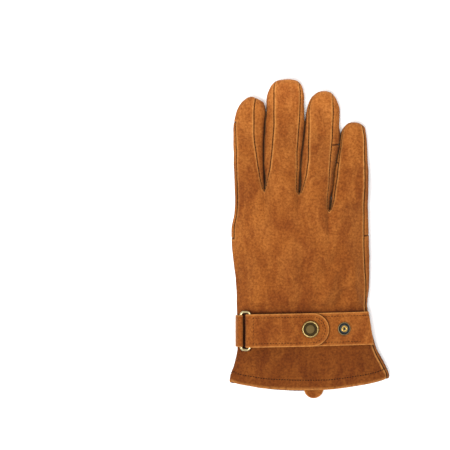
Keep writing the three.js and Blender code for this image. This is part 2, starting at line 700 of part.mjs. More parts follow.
// A band of constant thickness along a path of {x, z, half, slant}, its width running along Y.
function band(stations, thickness, middleY) {
  const points = [];
  stations.forEach((station, i) => {
    const before = stations[Math.max(0, i - 1)];
    const after = stations[Math.min(stations.length - 1, i + 1)];
    const along = new THREE.Vector2(after.x - before.x, after.z - before.z).normalize();
    const outer = { x: -along.y * (thickness / 2), z: along.x * (thickness / 2) };
    const y = middleY(station.x);
    const slant = (station.slant ?? 0) * station.half;
    [[1, 1], [1, -1], [-1, -1], [-1, 1]].forEach(([side, face]) => {
      const x = station.x + face * outer.x - side * slant;
      points.push(vector(x, y + side * station.half, station.z + face * outer.z));
    });
  });
  const index = [];
  const quad = (a, b, c, d) => index.push(a, b, c, a, c, d);
  const last = stations.length - 1;
  for (let i = 0; i < last; i += 1) {
    range(4).forEach((k) => {
      const next = (k + 1) % 4;
      quad(4 * i + k, 4 * (i + 1) + k, 4 * (i + 1) + next, 4 * i + next);
    });
  }
  quad(0, 1, 2, 3);
  quad(4 * last + 3, 4 * last + 2, 4 * last + 1, 4 * last);
  return mergeVertices(indexed(points, index).deleteAttribute("normal"), 1e-3);
}

const strapY = (x) => STRAP.middleY + STRAP.tilt * x;

// The highest point of the glove's back under a band, so that the band clears it all across.
function backUnder(x, halfWidth) {
  const places = range(7).map((i) => strapY(x) + lerp(-halfWidth, halfWidth, i / 6));
  return Math.max(...places.map((y) => handTop(x, y)));
}

function strapLowerHeight(x) {
  return backUnder(x, STRAP.width / 2) + STRAP_LIFT + STRAP.thickness / 2;
}

// How far the tongue's middle lies over the under layer's: it closes in to the right of the ring.
function tongueRise(x) {
  const nearRing = 1 - smoothstep(x, STRAP_FOLD_X + 6, STRAP_FOLD_X + 24);
  return STRAP.thickness + STRAP_SPLIT + nearRing * (RING.wire + 0.2);
}

function strapGeometry() {
  const half = STRAP.width / 2;
  const foldX = STRAP_FOLD_X + STRAP.thickness / 2 + tongueRise(STRAP_FOLD_X) / 2;
  const lower = range(STRAP_STATIONS + 1).map((i) => {
    const x = lerp(STRAP.rightX, foldX, i / STRAP_STATIONS);
    const slant = STRAP_END_SLANT * Math.max(0, 1 - i / STRAP_SLANT_STATIONS);
    return { x, z: strapLowerHeight(x), half, slant };
  });
  const foldHeight = strapLowerHeight(foldX);
  const rise = tongueRise(foldX);
  const fold = [30, 60, 90, 120, 150].map((degrees) => {
    const angle = THREE.MathUtils.degToRad(degrees);
    return {
      x: foldX - (rise / 2) * Math.sin(angle),
      z: foldHeight + (rise / 2) * (1 - Math.cos(angle)),
      half,
    };
  });
  const roundX = STRAP.tongueEndX - half;
  const flat = range(TONGUE_STATIONS + 1).map((i) => {
    return { x: lerp(foldX, roundX, i / TONGUE_STATIONS), half };
  });
  const round = [15, 30, 45, 60, 75, 90].map((degrees) => {
    const angle = THREE.MathUtils.degToRad(degrees);
    return { x: roundX + half * Math.sin(angle), half: Math.max(0.6, half * Math.cos(angle)) };
  });
  const upper = [...flat, ...round].map((station) => ({
    ...station,
    z: strapLowerHeight(station.x) + tongueRise(station.x),
  }));
  return band([...lower, ...fold, ...upper], STRAP.thickness, strapY);
}

// Sets a round piece on a slope that is given as a height for each x.
function seat(piece, place, height) {
  const slope = Math.atan(height(place.x + 1) / 2 - height(place.x - 1) / 2);
  const lift = STRAP.thickness / 2 + SNAP_GAP;
  piece.position.set(place.x - lift * Math.sin(slope), place.y, height(place.x) + lift * Math.cos(slope));
  piece.rotation.y = -slope;
}

// The ring: a torus drawn out to a rounded oval, tilted with the back of the wrist.
function ringTilt() {
  const reach = RING.width / 2;
  const rise = handTop(RING.centreX + reach, RING.centreY) - handTop(RING.centreX - reach, RING.centreY);
  return Math.atan2(rise, 2 * reach);
}

function ringGeometry() {
  const unit = 100;
  const geometry = new THREE.TorusGeometry(unit, RING.wire / 2, RING_SIDES, RING_STEPS);
  const positions = geometry.getAttribute("position");
  const halfX = (RING.width - RING.wire) / 2;
  const halfY = (RING.length - RING.wire) / 2;
  const path = (angle) =>
    new THREE.Vector2(
      halfX * signedPower(Math.cos(angle), 2 / RING.squareness),
      halfY * signedPower(Math.sin(angle), 2 / RING.squareness),
    );
  for (let i = 0; i < positions.count; i += 1) {
    const x = positions.getX(i);
    const y = positions.getY(i);
    const angle = Math.atan2(y, x);
    const out = Math.hypot(x, y) - unit;
    const ahead = path(angle + 0.02).sub(path(angle - 0.02)).normalize();
    const centre = path(angle);
    positions.setXY(i, centre.x + ahead.y * out, centre.y - ahead.x * out);
  }
  return mergeVertices(geometry.deleteAttribute("normal").deleteAttribute("uv"), 1e-3);
}

// The keeper: from under the index side, round the glove's edge, over the ring's bar and back in.
function keeperGeometry() {
  const { thickness, topRightX, outsideGap } = KEEPER;
  const over = RING.wire / 2 + outsideGap + thickness / 2;
  const bar = ringBar(-1);
  const edge = handSection(RING.centreY);
  const outside = (degrees) => {
    const angle = THREE.MathUtils.degToRad(degrees);
    const lift = outsideGap + thickness / 2;
    const out = signedPower(Math.cos(angle), 2 / HAND_SQUARENESS);
    const rise = signedPower(Math.sin(angle), 2 / HAND_SQUARENESS);
    return {
      x: edge.centre - (edge.half + lift) * out,
      z: hand.zLeft(RING.centreY) + (edge.thickness + lift) * rise,
    };
  };
  const path = [
    ...[-32, -20, -8, 4].map(outside),
    ...[160, 120, 80, 40, 0].map((degrees) => {
      const angle = THREE.MathUtils.degToRad(degrees);
      return { x: bar.x + over * Math.cos(angle), z: bar.z + over * Math.sin(angle) };
    }),
  ];
  path.at(-1).x = topRightX - thickness / 2;
  return band(path.map((place) => ({ ...place, half: KEEPER.width / 2 })).reverse(), thickness, strapY);
}

// One of the ring's two long bars: side is 1 for the strap's and -1 for the keeper's.
function ringBar(side) {
  const reach = ((RING.width - RING.wire) / 2) * side;
  const centre = ringCentre();
  return vector(centre.x + reach * Math.cos(ringTilt()), centre.y, centre.z + reach * Math.sin(ringTilt()));
}

function ringCentre() {
  const reach = (RING.width - RING.wire) / 2;
  const barX = RING.centreX + reach * Math.cos(ringTilt());
  const strapTop = backUnder(barX, STRAP.width / 2) + STRAP_LIFT + STRAP.thickness;
  const barZ = strapTop + STRAP_SPLIT + RING.wire / 2;
  return vector(RING.centreX, RING.centreY, barZ - reach * Math.sin(ringTilt()));
}

function lathe(profile) {
  const outline = profile.map(([r, z]) => new THREE.Vector2(r, z));
  const geometry = new THREE.LatheGeometry(outline, ROUND_SEGMENTS);
  geometry.rotateX(Math.PI / 2);
  return mergeVertices(geometry.deleteAttribute("normal").deleteAttribute("uv"), 1e-3);
}

// Snap cap: a rolled rim, a sunk ring and a level middle.
function capGeometry() {
  const { radius, height } = CAP;
  return lathe([
    [0, 0], [radius * 0.8, 0], [radius, 0.7], [radius, 1.4], [radius - 0.5, height - 0.3],
    [radius - 1.0, height], [radius - 1.5, height - 0.2], [radius - 1.9, height - 0.6],
    [radius * 0.52, height - 0.6], [radius * 0.48, height - 0.25], [0, height - 0.1],
  ]);
}

// Snap stud: a rimmed dish with a post that stands in its middle.
function studGeometry() {
  const { radius, height, postRadius, postHeight } = STUD;
  return lathe([
    [0, 0], [radius - 0.4, 0], [radius, 0.4], [radius, height - 0.4], [radius - 0.5, height],
    [radius - 1.0, height - 0.3], [radius - 1.2, 0.6], [postRadius, 0.6],
    [postRadius, postHeight - 1.1], [postRadius + 0.3, postHeight - 0.5], [postRadius, postHeight],
    [0.9, postHeight], [0.8, postHeight - 1], [0, postHeight - 1],
  ]);
}

// Pull tab: a tongue of leather with a round end, sewn inside the palm side of the cuff.
function tabGeometry() {
  const { halfWidth, tipY, rootY, thickness } = TAB;
  const shape = new THREE.Shape();
  shape.moveTo(halfWidth, rootY);
  shape.lineTo(-halfWidth, rootY);
  shape.lineTo(-halfWidth, tipY + halfWidth);
  shape.absarc(0, tipY + halfWidth, halfWidth, Math.PI, 2 * Math.PI, false);
  shape.closePath();
  return new THREE.ExtrudeGeometry(shape, { depth: thickness, bevelEnabled: false, curveSegments: 12 });
}

function mesh(name, geometry, finish) {
  const made = new THREE.Mesh(geometry, new THREE.MeshStandardMaterial(FINISHES[finish]));
  made.name = name;
  return made;
}

function buildGlove() {
  const group = new THREE.Group();
  const surface = buildLeather();
  const inner = surface.innerPoints();
  [...new Set(surface.faces.map((face) => face.panel))].forEach((panel) => {
    const finish = panel.startsWith("palm") ? "darkSuede" : "suede";
    group.add(mesh(panel, surface.solid(panel, inner), finish));
  });
  group.add(mesh("wrist_strap", strapGeometry(), "suede"));

  const ring = mesh("strap_ring", ringGeometry(), "brass");
  ring.position.copy(ringCentre());
  ring.rotation.y = -ringTilt();
  group.add(ring);
  group.add(mesh("strap_keeper", keeperGeometry(), "suede"));

  const cap = mesh("snap_cap", capGeometry(), "antiqueBrass");
  seat(cap, CAP, (x) => strapLowerHeight(x) + tongueRise(x));
  const stud = mesh("snap_stud", studGeometry(), "darkBrass");
  seat(stud, STUD, strapLowerHeight);
  const tab = mesh("pull_tab", tabGeometry(), "suede");
  tab.position.set(TAB.x, 0, WALL + 2 * SEAM_GAP);
  group.add(cap, stud, tab);

  const box = new THREE.Box3().setFromObject(group);
  group.position.set(-(box.min.x + box.max.x) / 2, -(box.min.y + box.max.y) / 2, -box.min.z);
  return group;
}

const glove = buildGlove();

export default glove;
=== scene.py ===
"""A tan suede dress glove for the right hand, lying palm down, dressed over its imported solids.

The leather is one net of points worked out from the same named sizes as the solids. It is
wrinkled, cut into panels, given worn edges and a thickness, and stitched. Working lengths are
in millimetres in the pattern's own frame; a piece is moved and scaled to metres as it is made.
"""

import logging
import math
from collections.abc import Callable, Sequence
from dataclasses import dataclass, field
from enum import Enum

import bpy
import numpy as np
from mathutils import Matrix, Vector, noise
from mathutils.kdtree import KDTree


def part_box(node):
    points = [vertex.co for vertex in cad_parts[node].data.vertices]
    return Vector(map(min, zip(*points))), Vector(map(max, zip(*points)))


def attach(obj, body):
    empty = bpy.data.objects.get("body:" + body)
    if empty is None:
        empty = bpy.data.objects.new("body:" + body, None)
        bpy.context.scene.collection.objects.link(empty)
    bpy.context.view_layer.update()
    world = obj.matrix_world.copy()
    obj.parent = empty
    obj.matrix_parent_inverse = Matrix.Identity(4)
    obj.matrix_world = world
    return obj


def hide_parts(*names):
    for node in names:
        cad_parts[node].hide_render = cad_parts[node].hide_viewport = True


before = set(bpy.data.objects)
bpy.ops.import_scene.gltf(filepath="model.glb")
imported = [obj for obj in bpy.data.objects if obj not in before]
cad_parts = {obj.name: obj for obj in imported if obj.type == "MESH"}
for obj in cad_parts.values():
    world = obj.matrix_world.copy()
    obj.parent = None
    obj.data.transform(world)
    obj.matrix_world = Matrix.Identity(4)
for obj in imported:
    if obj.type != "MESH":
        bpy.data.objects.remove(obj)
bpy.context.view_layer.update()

Array = np.ndarray
Row = tuple[float, ...]
Colour = tuple[float, float, float]
Spans = tuple[Row, Row]
Socket = bpy.types.NodeSocket
Material = bpy.types.Material
Piece = bpy.types.Object
Value = Socket | float | Colour

log = logging.getLogger("glove")

BODY = "root"
MM = 0.001

# Leather
WALL = 1.4
SOLID_SEAM_GAP = 0.4
SNAP_GAP = 0.5
HEM_ALLOWANCE = 8.0

# The net, in coarse steps as in the solids, and how many fine steps each coarse one has
FINGER_ROWS = 11
FINGER_ROW_POWER = 1.35
STRIP_COLUMNS = 5
SIDE_COLUMNS = 4
HAND_ROWS = 20
THUMB_ROWS = 13
FINE_FINGER_ROWS = 7
FINE_STRIP = 4
FINE_SIDE = 4
FINE_HAND_ROWS = 6
FINE_THUMB_ROWS = 5
EDGE_CROWDING = 0.6

# Rounded-box sections: 2 is an ellipse, more is squarer
FINGER_SQUARENESS = 2.4
HAND_SQUARENESS = 2.6

# Finger heights
TIP_MIDDLE_HEIGHT = 6.4
TIP_HALF_THICKNESS = 7.0
ROOT_HALF_THICKNESS = 8.0
TIP_ROUNDING = 8.0
FURROW_DEPTH_BACK = 5.0
FURROW_DEPTH_PALM = 1.5
FURROW_LENGTH = 18.0
FORK_ROUND_DEPTH = 3.0
FORK_ROUND_FADES = (5.0, 24.0)
STRIP_JOINS_HAND = 0.72
WALL_JOINS_HAND = 0.75
TIP_ARC_END = 0.3
TIP_ARC_POWER = 2.2

FINGER_COLUMNS = ("along", "edge_left", "seam_left", "seam_right", "edge_right", "palm_left", "palm_right")
INDEX_OUTLINE = [
    (0.0, -50.0, -50.0, -42.6, -42.6, -50.0, -42.6),
    (0.05, -54.2, -53.5, -43.3, -36.5, -53.0, -40.0),
    (0.15, -58.3, -57.0, -44.0, -34.8, -55.0, -37.5),
    (0.35, -61.0, -59.2, -44.0, -35.2, -54.5, -37.2),
    (0.65, -60.3, -58.2, -41.5, -35.9, -50.5, -37.2),
    (1.0, -59.5, -57.5, -36.0, -36.0, -45.5, -34.5),
]
MIDDLE_OUTLINE = [
    (0.0, -26.5, -26.5, -8.2, -8.2, -26.5, -8.2),
    (0.05, -30.4, -27.9, -7.1, -5.3, -27.5, -7.8),
    (0.15, -33.3, -28.0, -6.7, -3.9, -27.0, -7.0),
    (0.35, -34.0, -28.0, -7.5, -3.8, -26.0, -6.5),
    (0.65, -35.4, -30.0, -9.5, -6.6, -27.5, -8.0),
    (1.0, -36.0, -36.0, -8.3, -8.3, -34.5, -7.2),
]
RING_OUTLINE = [
    (0.0, 5.7, 5.7, 19.2, 19.2, 5.7, 19.2),
    (0.05, 2.1, 2.7, 19.8, 22.5, 3.2, 19.8),
    (0.15, -1.0, 0.2, 19.8, 25.3, 2.0, 20.2),
    (0.35, -3.5, -0.1, 19.0, 24.8, 1.8, 20.0),
    (0.65, -5.9, -0.8, 16.5, 19.4, 0.0, 18.0),
    (1.0, -8.3, -8.3, 15.8, 15.8, -7.2, 17.6),
]
LITTLE_OUTLINE = [
    (0.0, 29.2, 29.2, 42.2, 42.2, 29.2, 42.2),
    (0.05, 27.2, 27.7, 43.4, 45.0, 29.0, 42.6),
    (0.15, 25.7, 26.4, 44.4, 46.0, 30.5, 43.2),
    (0.35, 22.9, 24.2, 44.8, 47.2, 31.0, 44.0),
    (0.65, 18.0, 21.5, 44.8, 47.8, 27.5, 44.4),
    (1.0, 15.8, 15.8, 44.5, 47.9, 17.6, 44.4),
]

HAND_COLUMNS = ("y", "edge_left", "side_seam", "back_seam", "edge_right", "z_left", "z_right", "arch", "half")
HAND_SECTIONS = [
    (44, -59.8, -45.5, 44.5, 47.9, 12.5, 8.5, 12.5, 8.0),
    (32, -59.2, -46.5, 44.5, 47.9, 12.5, 8.5, 12.6, 8.0),
    (22, -59.6, -48.0, 44.4, 47.9, 12.5, 8.5, 12.8, 8.0),
    (8, -61.9, -52.0, 44.3, 48.1, 12.3, 8.4, 12.8, 8.0),
    (-6, -61.6, -56.5, 44.3, 48.6, 12.0, 8.3, 12.5, 8.1),
    (-18, -60.2, -57.0, 44.7, 48.7, 11.2, 8.1, 11.8, 8.1),
    (-37, -58.4, -55.0, 45.7, 48.4, 9.7, 8.0, 9.8, 8.0),
    (-53, -57.7, -54.0, 45.5, 46.8, 8.7, 8.0, 6.5, 7.7),
    (-65, -57.4, -53.0, 47.0, 48.6, 8.4, 8.0, 4.6, 7.6),
    (-86, -57.4, -52.8, 51.7, 54.0, 8.2, 8.0, 3.6, 7.6),
    (-101, -60.4, -54.5, 59.3, 61.7, 8.0, 8.0, 1.0, 7.7),
    (-109, -63.0, -57.0, 62.6, 64.4, 7.9, 7.9, 0.2, 8.0),
    (-122, -65.0, -59.0, 63.5, 65.2, 7.8, 7.8, 0.0, 8.0),
]
BACK_SEAM_IN = 2.0
PALM_SEAM_IN = 3.0

HEM_COLUMNS = ("x", "y")
HEM_LINE = [
    (-65, -113.4), (-58, -116.1), (-47, -118.0), (-36, -119.7), (-3, -121.0),
    (12, -120.8), (39, -117.6), (61, -112.8), (65, -109.6),
]
PALM_HEM_DROP = 1.3
PALM_HEM_CENTRE_X = -12.0
PALM_HEM_HALF_WIDTH = 32.0

THUMB_HOLE = [
    (-52.2, -2.2), (-42.0, 3.0), (-28.0, 2.0), (-16.0, -6.0), (-9.8, -18.0), (-10.2, -30.0), (-12.5, -42.0),
    (-17.5, -53.0), (-25.2, -60.3), (-33.0, -54.0), (-38.5, -41.0), (-43.0, -27.0), (-47.0, -14.0),
]
HOLE_FIRST_ROW = 5
HOLE_FIRST_COLUMN = 1
HOLE_SIZE = 7
PATCH_EDGE = [
    (8.0, 14.4), (3.0, 6.0), (2.4, -16.0), (2.4, -31.0), (-3.5, -51.5),
    (-12.5, -60.5), (-21.0, -68.0), (-26.0, -76.0), (-28.5, -88.0), (-30.9, -120.8),
]
PATCH_TOP_Y = 14.4
PATCH_FIRST_ROW = 3
PATCH_FIRST_COLUMN = 10
PATCH_CORNER_OUT = 3.0
RELAXING_PASSES = 80

THUMB_COLUMNS = ("along", "left_x", "left_y", "right_x", "right_y", "top")
THUMB_STATIONS = [
    (0.0, -51.0, 3.0, -9.0, -18.0, 10.5),
    (0.15, -46.5, 9.0, -4.5, -9.0, 11.5),
    (0.4, -37.0, 24.5, 1.8, 8.0, 11.5),
    (0.65, -27.5, 40.0, 6.2, 27.0, 10.5),
    (0.85, -18.0, 54.0, 9.6, 41.5, 9.0),
    (0.95, -13.0, 60.0, 10.8, 49.5, 8.0),
    (1.0, -8.0, 62.9, 7.0, 58.5, 7.6),
]
THUMB_BEND_ROWS = 5
THUMB_BEND_END = 0.13
THUMB_TIP_ROUNDING = 0.11
THUMB_FIRST_ANGLE = 0.75
THUMB_SAG = 1.1
THUMB_DROP_POWER = 2.4
THUMB_ROW_POWER = 0.8
THUMB_CLEARANCE = 0.9

SIDE_PANEL_FIRST_ROW = 4
SIDE_PANEL_LAST_HAND_ROW = 5
GUSSET_FIRST_ROW = 6
GUSSET_COLUMNS = 2
GUSSET_HAND_ROWS = 1

# The leather's lightness down the hand, as places along y with the lightness at each, and how
# much more of its red, green and blue go with it
TONE_PLACES = (-120, -92, -56, 7, 75, 100, 120)
TONE_VALUES = (0.51, 0.5, 0.76, 0.88, 0.95, 1.1, 1.48)
TONE_POWERS = (1.0, 1.25, 1.8)

# Strap, ring and pull tab
STRAP_MIDDLE_Y = -72.4
STRAP_TILT = 0.022
STRAP_WIDTH = 26.6
RING_X = -50.8
TAB_X = 4.1
TAB_HALF_WIDTH = 7.8
TAB_TIP_Y = -128.2
TAB_ROOT_Y = -108.0
TAB_HEIGHT = WALL + 2 * SOLID_SEAM_GAP
END_ANGLES = np.radians(np.arange(4, 89, 4))


class Panel(Enum):
    """The leather panels of the glove, each named as its solid."""

    BACK = "back_panel"
    PALM = "palm_panel"
    HEEL = "palm_heel_panel"
    INDEX_SIDE = "index_side_panel"
    INDEX_MIDDLE = "fourchette_index_middle"
    MIDDLE_RING = "fourchette_middle_ring"
    RING = "fourchette_ring"
    LITTLE = "fourchette_little"
    GUSSET = "ring_little_gusset"
    THUMB = "thumb"


PANELS = list(Panel)
NO_PANEL = -1


def number(panel: Panel) -> int:
    """The panel's place in the list of panels."""
    return PANELS.index(panel)


def lerp(start: Array, end: Array, share: Array) -> Array:
    """The value that lies the given share of the way from start to end."""
    return start + (end - start) * share


def smoothstep(value: Array, low: float, high: float) -> Array:
    """A smooth rise from 0 at low to 1 at high."""
    share = np.clip((np.asarray(value, float) - low) / (high - low), 0, 1)
    return share * share * (3 - 2 * share)


def window(value: Array, rise: Row, fall: Row) -> Array:
    """A smooth rise from 0 to 1 over one span and back to 0 over another."""
    return smoothstep(value, *rise) * (1 - smoothstep(value, *fall))


def signed_power(value: Array, power: float) -> Array:
    """The power of the value's size, with the value's sign."""
    return np.sign(value) * np.abs(value) ** power


def crown(across: Array, squareness: float) -> Array:
    """Height of a rounded box's wall over its middle: 1 at the centre, 0 at its edges."""
    return (1 - np.minimum(1, np.abs(across)) ** squareness) ** (1 / squareness)


def bump(distance: Array, width: float) -> Array:
    """A smooth hill of height 1 that has mostly died away at the given width."""
    return np.exp(-((distance / width) ** 2))


def stack(x: Array, y: Array, z: Array) -> Array:
    """Joins three arrays of coordinates, of shapes that fit each other, into points."""
    return np.stack(np.broadcast_arrays(x, y, z), axis=-1).astype(float)


class Table:
    """Smooth curves through the columns of a table, which never overshoot its rows."""

    def __init__(self, columns: Sequence[str], rows: Sequence[Row]) -> None:
        """Sorts the rows by their first column, which says where each row lies.

        Args:
            columns: the name of each column.
            rows: the table's rows.
        """
        ordered = sorted(rows)
        self.at = np.array([row[0] for row in ordered], float)
        self.curves = {}
        for place, name in enumerate(columns[1:], 1):
            values = np.array([row[place] for row in ordered], float)
            self.curves[name] = (values, self._slopes(values))

    def _slopes(self, values: Array) -> Array:
        """The slope of one column at each row: level at its peaks and dips.

        Args:
            values: the column.

        Returns:
            The slopes.
        """
        rise = np.diff(values) / np.diff(self.at)
        product = rise[:-1] * rise[1:]
        total = np.where(product > 0, rise[:-1] + rise[1:], 1)
        inner = np.where(product > 0, 2 * product / total, 0)
        return np.concatenate([rise[:1], inner, rise[-1:]])

    def value(self, name: str, where: Array) -> Array:
        """A column's value at any place along the table.

        Args:
            name: the column.
            where: places in the first column's units.

        Returns:
            The column's value at each place.
        """
        values, slopes = self.curves[name]
        x = np.clip(np.asarray(where, float), self.at[0], self.at[-1])
        i = np.clip(np.searchsorted(self.at, x, side="right") - 1, 0, len(self.at) - 2)
        span = self.at[i + 1] - self.at[i]
        t = (x - self.at[i]) / span
        start = values[i] * (2 * t**3 - 3 * t**2 + 1) + slopes[i] * span * (t**3 - 2 * t**2 + t)
        return start + values[i + 1] * (3 * t**2 - 2 * t**3) + slopes[i + 1] * span * (t**3 - t**2)


@dataclass
class Section:
    """A rounded-box cross section of a finger or of the hand."""

    centre: Array
    half: Array
    thickness: Array
    power: float
    middle: Array = 0.0

    def bulge(self, upper_x: Array, lower_x: Array, sign: int, share: Array) -> tuple[Array, Array]:
        """How far a side wall bulges past the straight line between its two seams.

        Args:
            upper_x: where the upper seam lies.
            lower_x: where the lower seam lies.
            sign: 1 for the right side, -1 for the left.
            share: the way down the wall, 0 at the upper seam.

        Returns:
            The bulge along x and along z.
        """
        upper = self._angle(upper_x, sign)
        lower = -self._angle(lower_x, sign)
        x_up, z_up = self._at(upper, sign)
        x_down, z_down = self._at(lower, sign)
        x, z = self._at(lerp(upper, lower, share), sign)
        return x - lerp(x_up, x_down, share), z - lerp(z_up, z_down, share)

    def _angle(self, x: Array, sign: int) -> Array:
        """The section's own angle above its middle at a place across it."""
        across = np.clip((x - self.centre) / self.half * sign, -1, 1)
        return np.arccos(signed_power(across, self.power / 2))

    def _at(self, angle: Array, sign: int) -> tuple[Array, Array]:
        """The point of the section's outline at an angle."""
        x = self.centre + sign * self.half * signed_power(np.cos(angle), 2 / self.power)
        return x, self.thickness * signed_power(np.sin(angle), 2 / self.power)


class HandForm:
    """The form of the hand, wrist and cuff: heights of its back and palm over the surface."""

    def __init__(self) -> None:
        """Reads the tables of sections and of the hem."""
        self.sizes = Table(HAND_COLUMNS, HAND_SECTIONS)
        self.hem_line = Table(HEM_COLUMNS, HEM_LINE)

    def edge(self, name: str, y: Array) -> Array:
        """One of the hand's lines along its length, named as its column."""
        return self.sizes.value(name, y)

    def across(self, x: Array, y: Array) -> Array:
        """Place across the hand: -1 at its left edge, 1 at its right."""
        section = self.section(y)
        return np.clip((x - section.centre) / section.half, -1, 1)

    def middle(self, x: Array, y: Array) -> Array:
        """Height of the middle of the hand's thickness.

        Args:
            x: places across the hand.
            y: places along it.

        Returns:
            The height at each.
        """
        u = self.across(x, y)
        level = lerp(self.edge("z_left", y), self.edge("z_right", y), (u + 1) / 2)
        return level + self.edge("arch", y) * (1 - u * u)

    def top(self, x: Array, y: Array) -> Array:
        """Height of the back of the hand."""
        return self.middle(x, y) + self.edge("half", y) * crown(self.across(x, y), HAND_SQUARENESS)

    def bottom(self, x: Array, y: Array) -> Array:
        """Height of the palm, which rests on the surface where it reaches it."""
        wall = self.edge("half", y) * crown(self.across(x, y), HAND_SQUARENESS)
        return np.maximum(0, self.middle(x, y) - wall)

    def section(self, y: Array) -> Section:
        """The hand's cross section."""
        left, right = self.edge("edge_left", y), self.edge("edge_right", y)
        return Section((left + right) / 2, (right - left) / 2, self.edge("half", y), HAND_SQUARENESS)

    def seams(self, y: Array, up: int) -> tuple[Array, Array]:
        """The left and the right seam of the back or of the palm.

        Args:
            y: places along the hand.
            up: 1 for the back, -1 for the palm.

        Returns:
            The x of each seam at each place.
        """
        if up > 0:
            return self.edge("edge_left", y) + BACK_SEAM_IN, self.edge("back_seam", y)
        return self.edge("side_seam", y), self.edge("edge_right", y) - PALM_SEAM_IN

    def hem(self, x: Array, up: int) -> Array:
        """Where the hem lies: the palm's is a little lower in its middle."""
        away = (x - PALM_HEM_CENTRE_X) / PALM_HEM_HALF_WIDTH
        return self.hem_line.value("y", x) - (up < 0) * PALM_HEM_DROP * np.maximum(0, 1 - away * away)


HAND = HandForm()


@dataclass
class Finger:
    """One finger: its outline from above and its rounded-box section at any station.

    A pair of values belongs to its left side and its right side.
    """

    outline: Table
    corner_y: float
    apex_y: float
    back_fork_y: Row
    palm_fork_y: Row
    furrows: tuple[bool, bool]
    side_panels: tuple[Panel, Panel]
    fork_roundings: Row

    def __post_init__(self) -> None:
        """Works out the height at which the finger joins the hand."""
        root_x = (self.outline.value("edge_left", 1) + self.outline.value("edge_right", 1)) / 2
        self.root_middle = HAND.middle(root_x, sum(self.back_fork_y) / 2)

    def section(self, along: Array) -> Section:
        """The finger's cross section at a station: 0 is its tip, 1 its fork.

        Args:
            along: stations.

        Returns:
            The section's sizes at each.
        """
        left = self.outline.value("edge_left", along)
        right = self.outline.value("edge_right", along)
        nose = 1 - np.minimum(1, along * (self.corner_y - self.back_fork_y[1]) / TIP_ROUNDING)
        full = lerp(TIP_HALF_THICKNESS, ROOT_HALF_THICKNESS, along)
        return Section(
            centre=(left + right) / 2,
            half=np.maximum(0.01, (right - left) / 2),
            thickness=full * crown(nose, FINGER_SQUARENESS),
            power=FINGER_SQUARENESS,
            middle=lerp(TIP_MIDDLE_HEIGHT, self.root_middle, smoothstep(along, 0.2, 0.9)),
        )

    def furrow(self, across: Array) -> Array:
        """How much a place across a strip takes part in the furrow beside it."""
        return np.where(across < 0.5, *self.furrows) * np.abs(2 * across - 1) ** 3

    def strip(self, along: Array, across: Array, up: int) -> Array:
        """Points of the back strip or of the palm strip.

        Args:
            along: stations, 0 at the tip and 1 at the fork.
            across: places across the strip, from 0 to 1.
            up: 1 for the back, -1 for the palm.

        Returns:
            The points, in a grid if the arguments are a column and a row.
        """
        side = "seam" if up > 0 else "palm"
        left = self.outline.value(side + "_left", along)
        right = self.outline.value(side + "_right", along)
        fork_y = lerp(*(self.back_fork_y if up > 0 else self.palm_fork_y), across)
        arc = 1 - np.abs(2 * across - 1) ** TIP_ARC_POWER
        tip_arc = (self.apex_y - self.corner_y) * arc * (1 - smoothstep(along, 0, TIP_ARC_END))
        left_in, right_in = (share * self._fork_rounding(along) * (up > 0) for share in self.fork_roundings)
        x = lerp(left + left_in, right - right_in, across)
        y = lerp(self.corner_y, fork_y, along) + tip_arc
        section = self.section(along)
        wall = section.thickness * crown((x - section.centre) / section.half, FINGER_SQUARENESS)
        blend = smoothstep(along, STRIP_JOINS_HAND, 1)
        if up > 0:
            hand_height = HAND.top(x, y) - FURROW_DEPTH_BACK * self.furrow(across)
            return stack(x, y, lerp(section.middle + wall, hand_height, blend))
        hand_height = HAND.bottom(x, y) + FURROW_DEPTH_PALM * self.furrow(across)
        return stack(x, y, np.maximum(0, lerp(section.middle - wall, hand_height, blend)))

    def _fork_rounding(self, along: Array) -> Array:
        """How far a seam stands back from the fork's middle: the fork's end is round.

        Args:
            along: stations.

        Returns:
            The distance at each.
        """
        from_fork = (1 - along) * (self.corner_y - sum(self.back_fork_y) / 2)
        rising = np.sqrt(1 - (1 - np.minimum(1, from_fork / FORK_ROUND_DEPTH)) ** 2)
        return rising * (1 - smoothstep(from_fork, *FORK_ROUND_FADES))

    def wall(self, along: Array, share: Array, sign: int) -> Array:
        """Points of a side wall, which runs out into the fork or on into the hand's side.

        Args:
            along: stations.
            share: ways down the wall, from 0 to 1.
            sign: 1 for the right wall, -1 for the left.

        Returns:
            A grid of points.
        """
        across = np.array([[1.0 if sign > 0 else 0.0]])
        upper = self.strip(along, across, 1)
        lower = self.strip(along, across, -1)
        x_up, x_down = upper[..., 0], lower[..., 0]
        dx, dz = self.section(along).bulge(x_up, x_down, sign, share)
        blend = smoothstep(along, WALL_JOINS_HAND, 1)
        if self.furrows[sign > 0]:
            to_x, to_z = 0.0, 0.0
        else:
            to_x, to_z = HAND.section(upper[..., 1]).bulge(x_up, x_down, sign, share)
        straight = lerp(upper, lower, share[..., None])
        return straight + stack(lerp(dx, to_x, blend), 0, lerp(dz, to_z, blend))


def crowded(count: int) -> Array:
    """Places from 0 to 1 that lie closer together towards both ends."""
    even = np.linspace(0, 1, count + 1)
    return lerp(even, (1 - np.cos(math.pi * even)) / 2, EDGE_CROWDING)


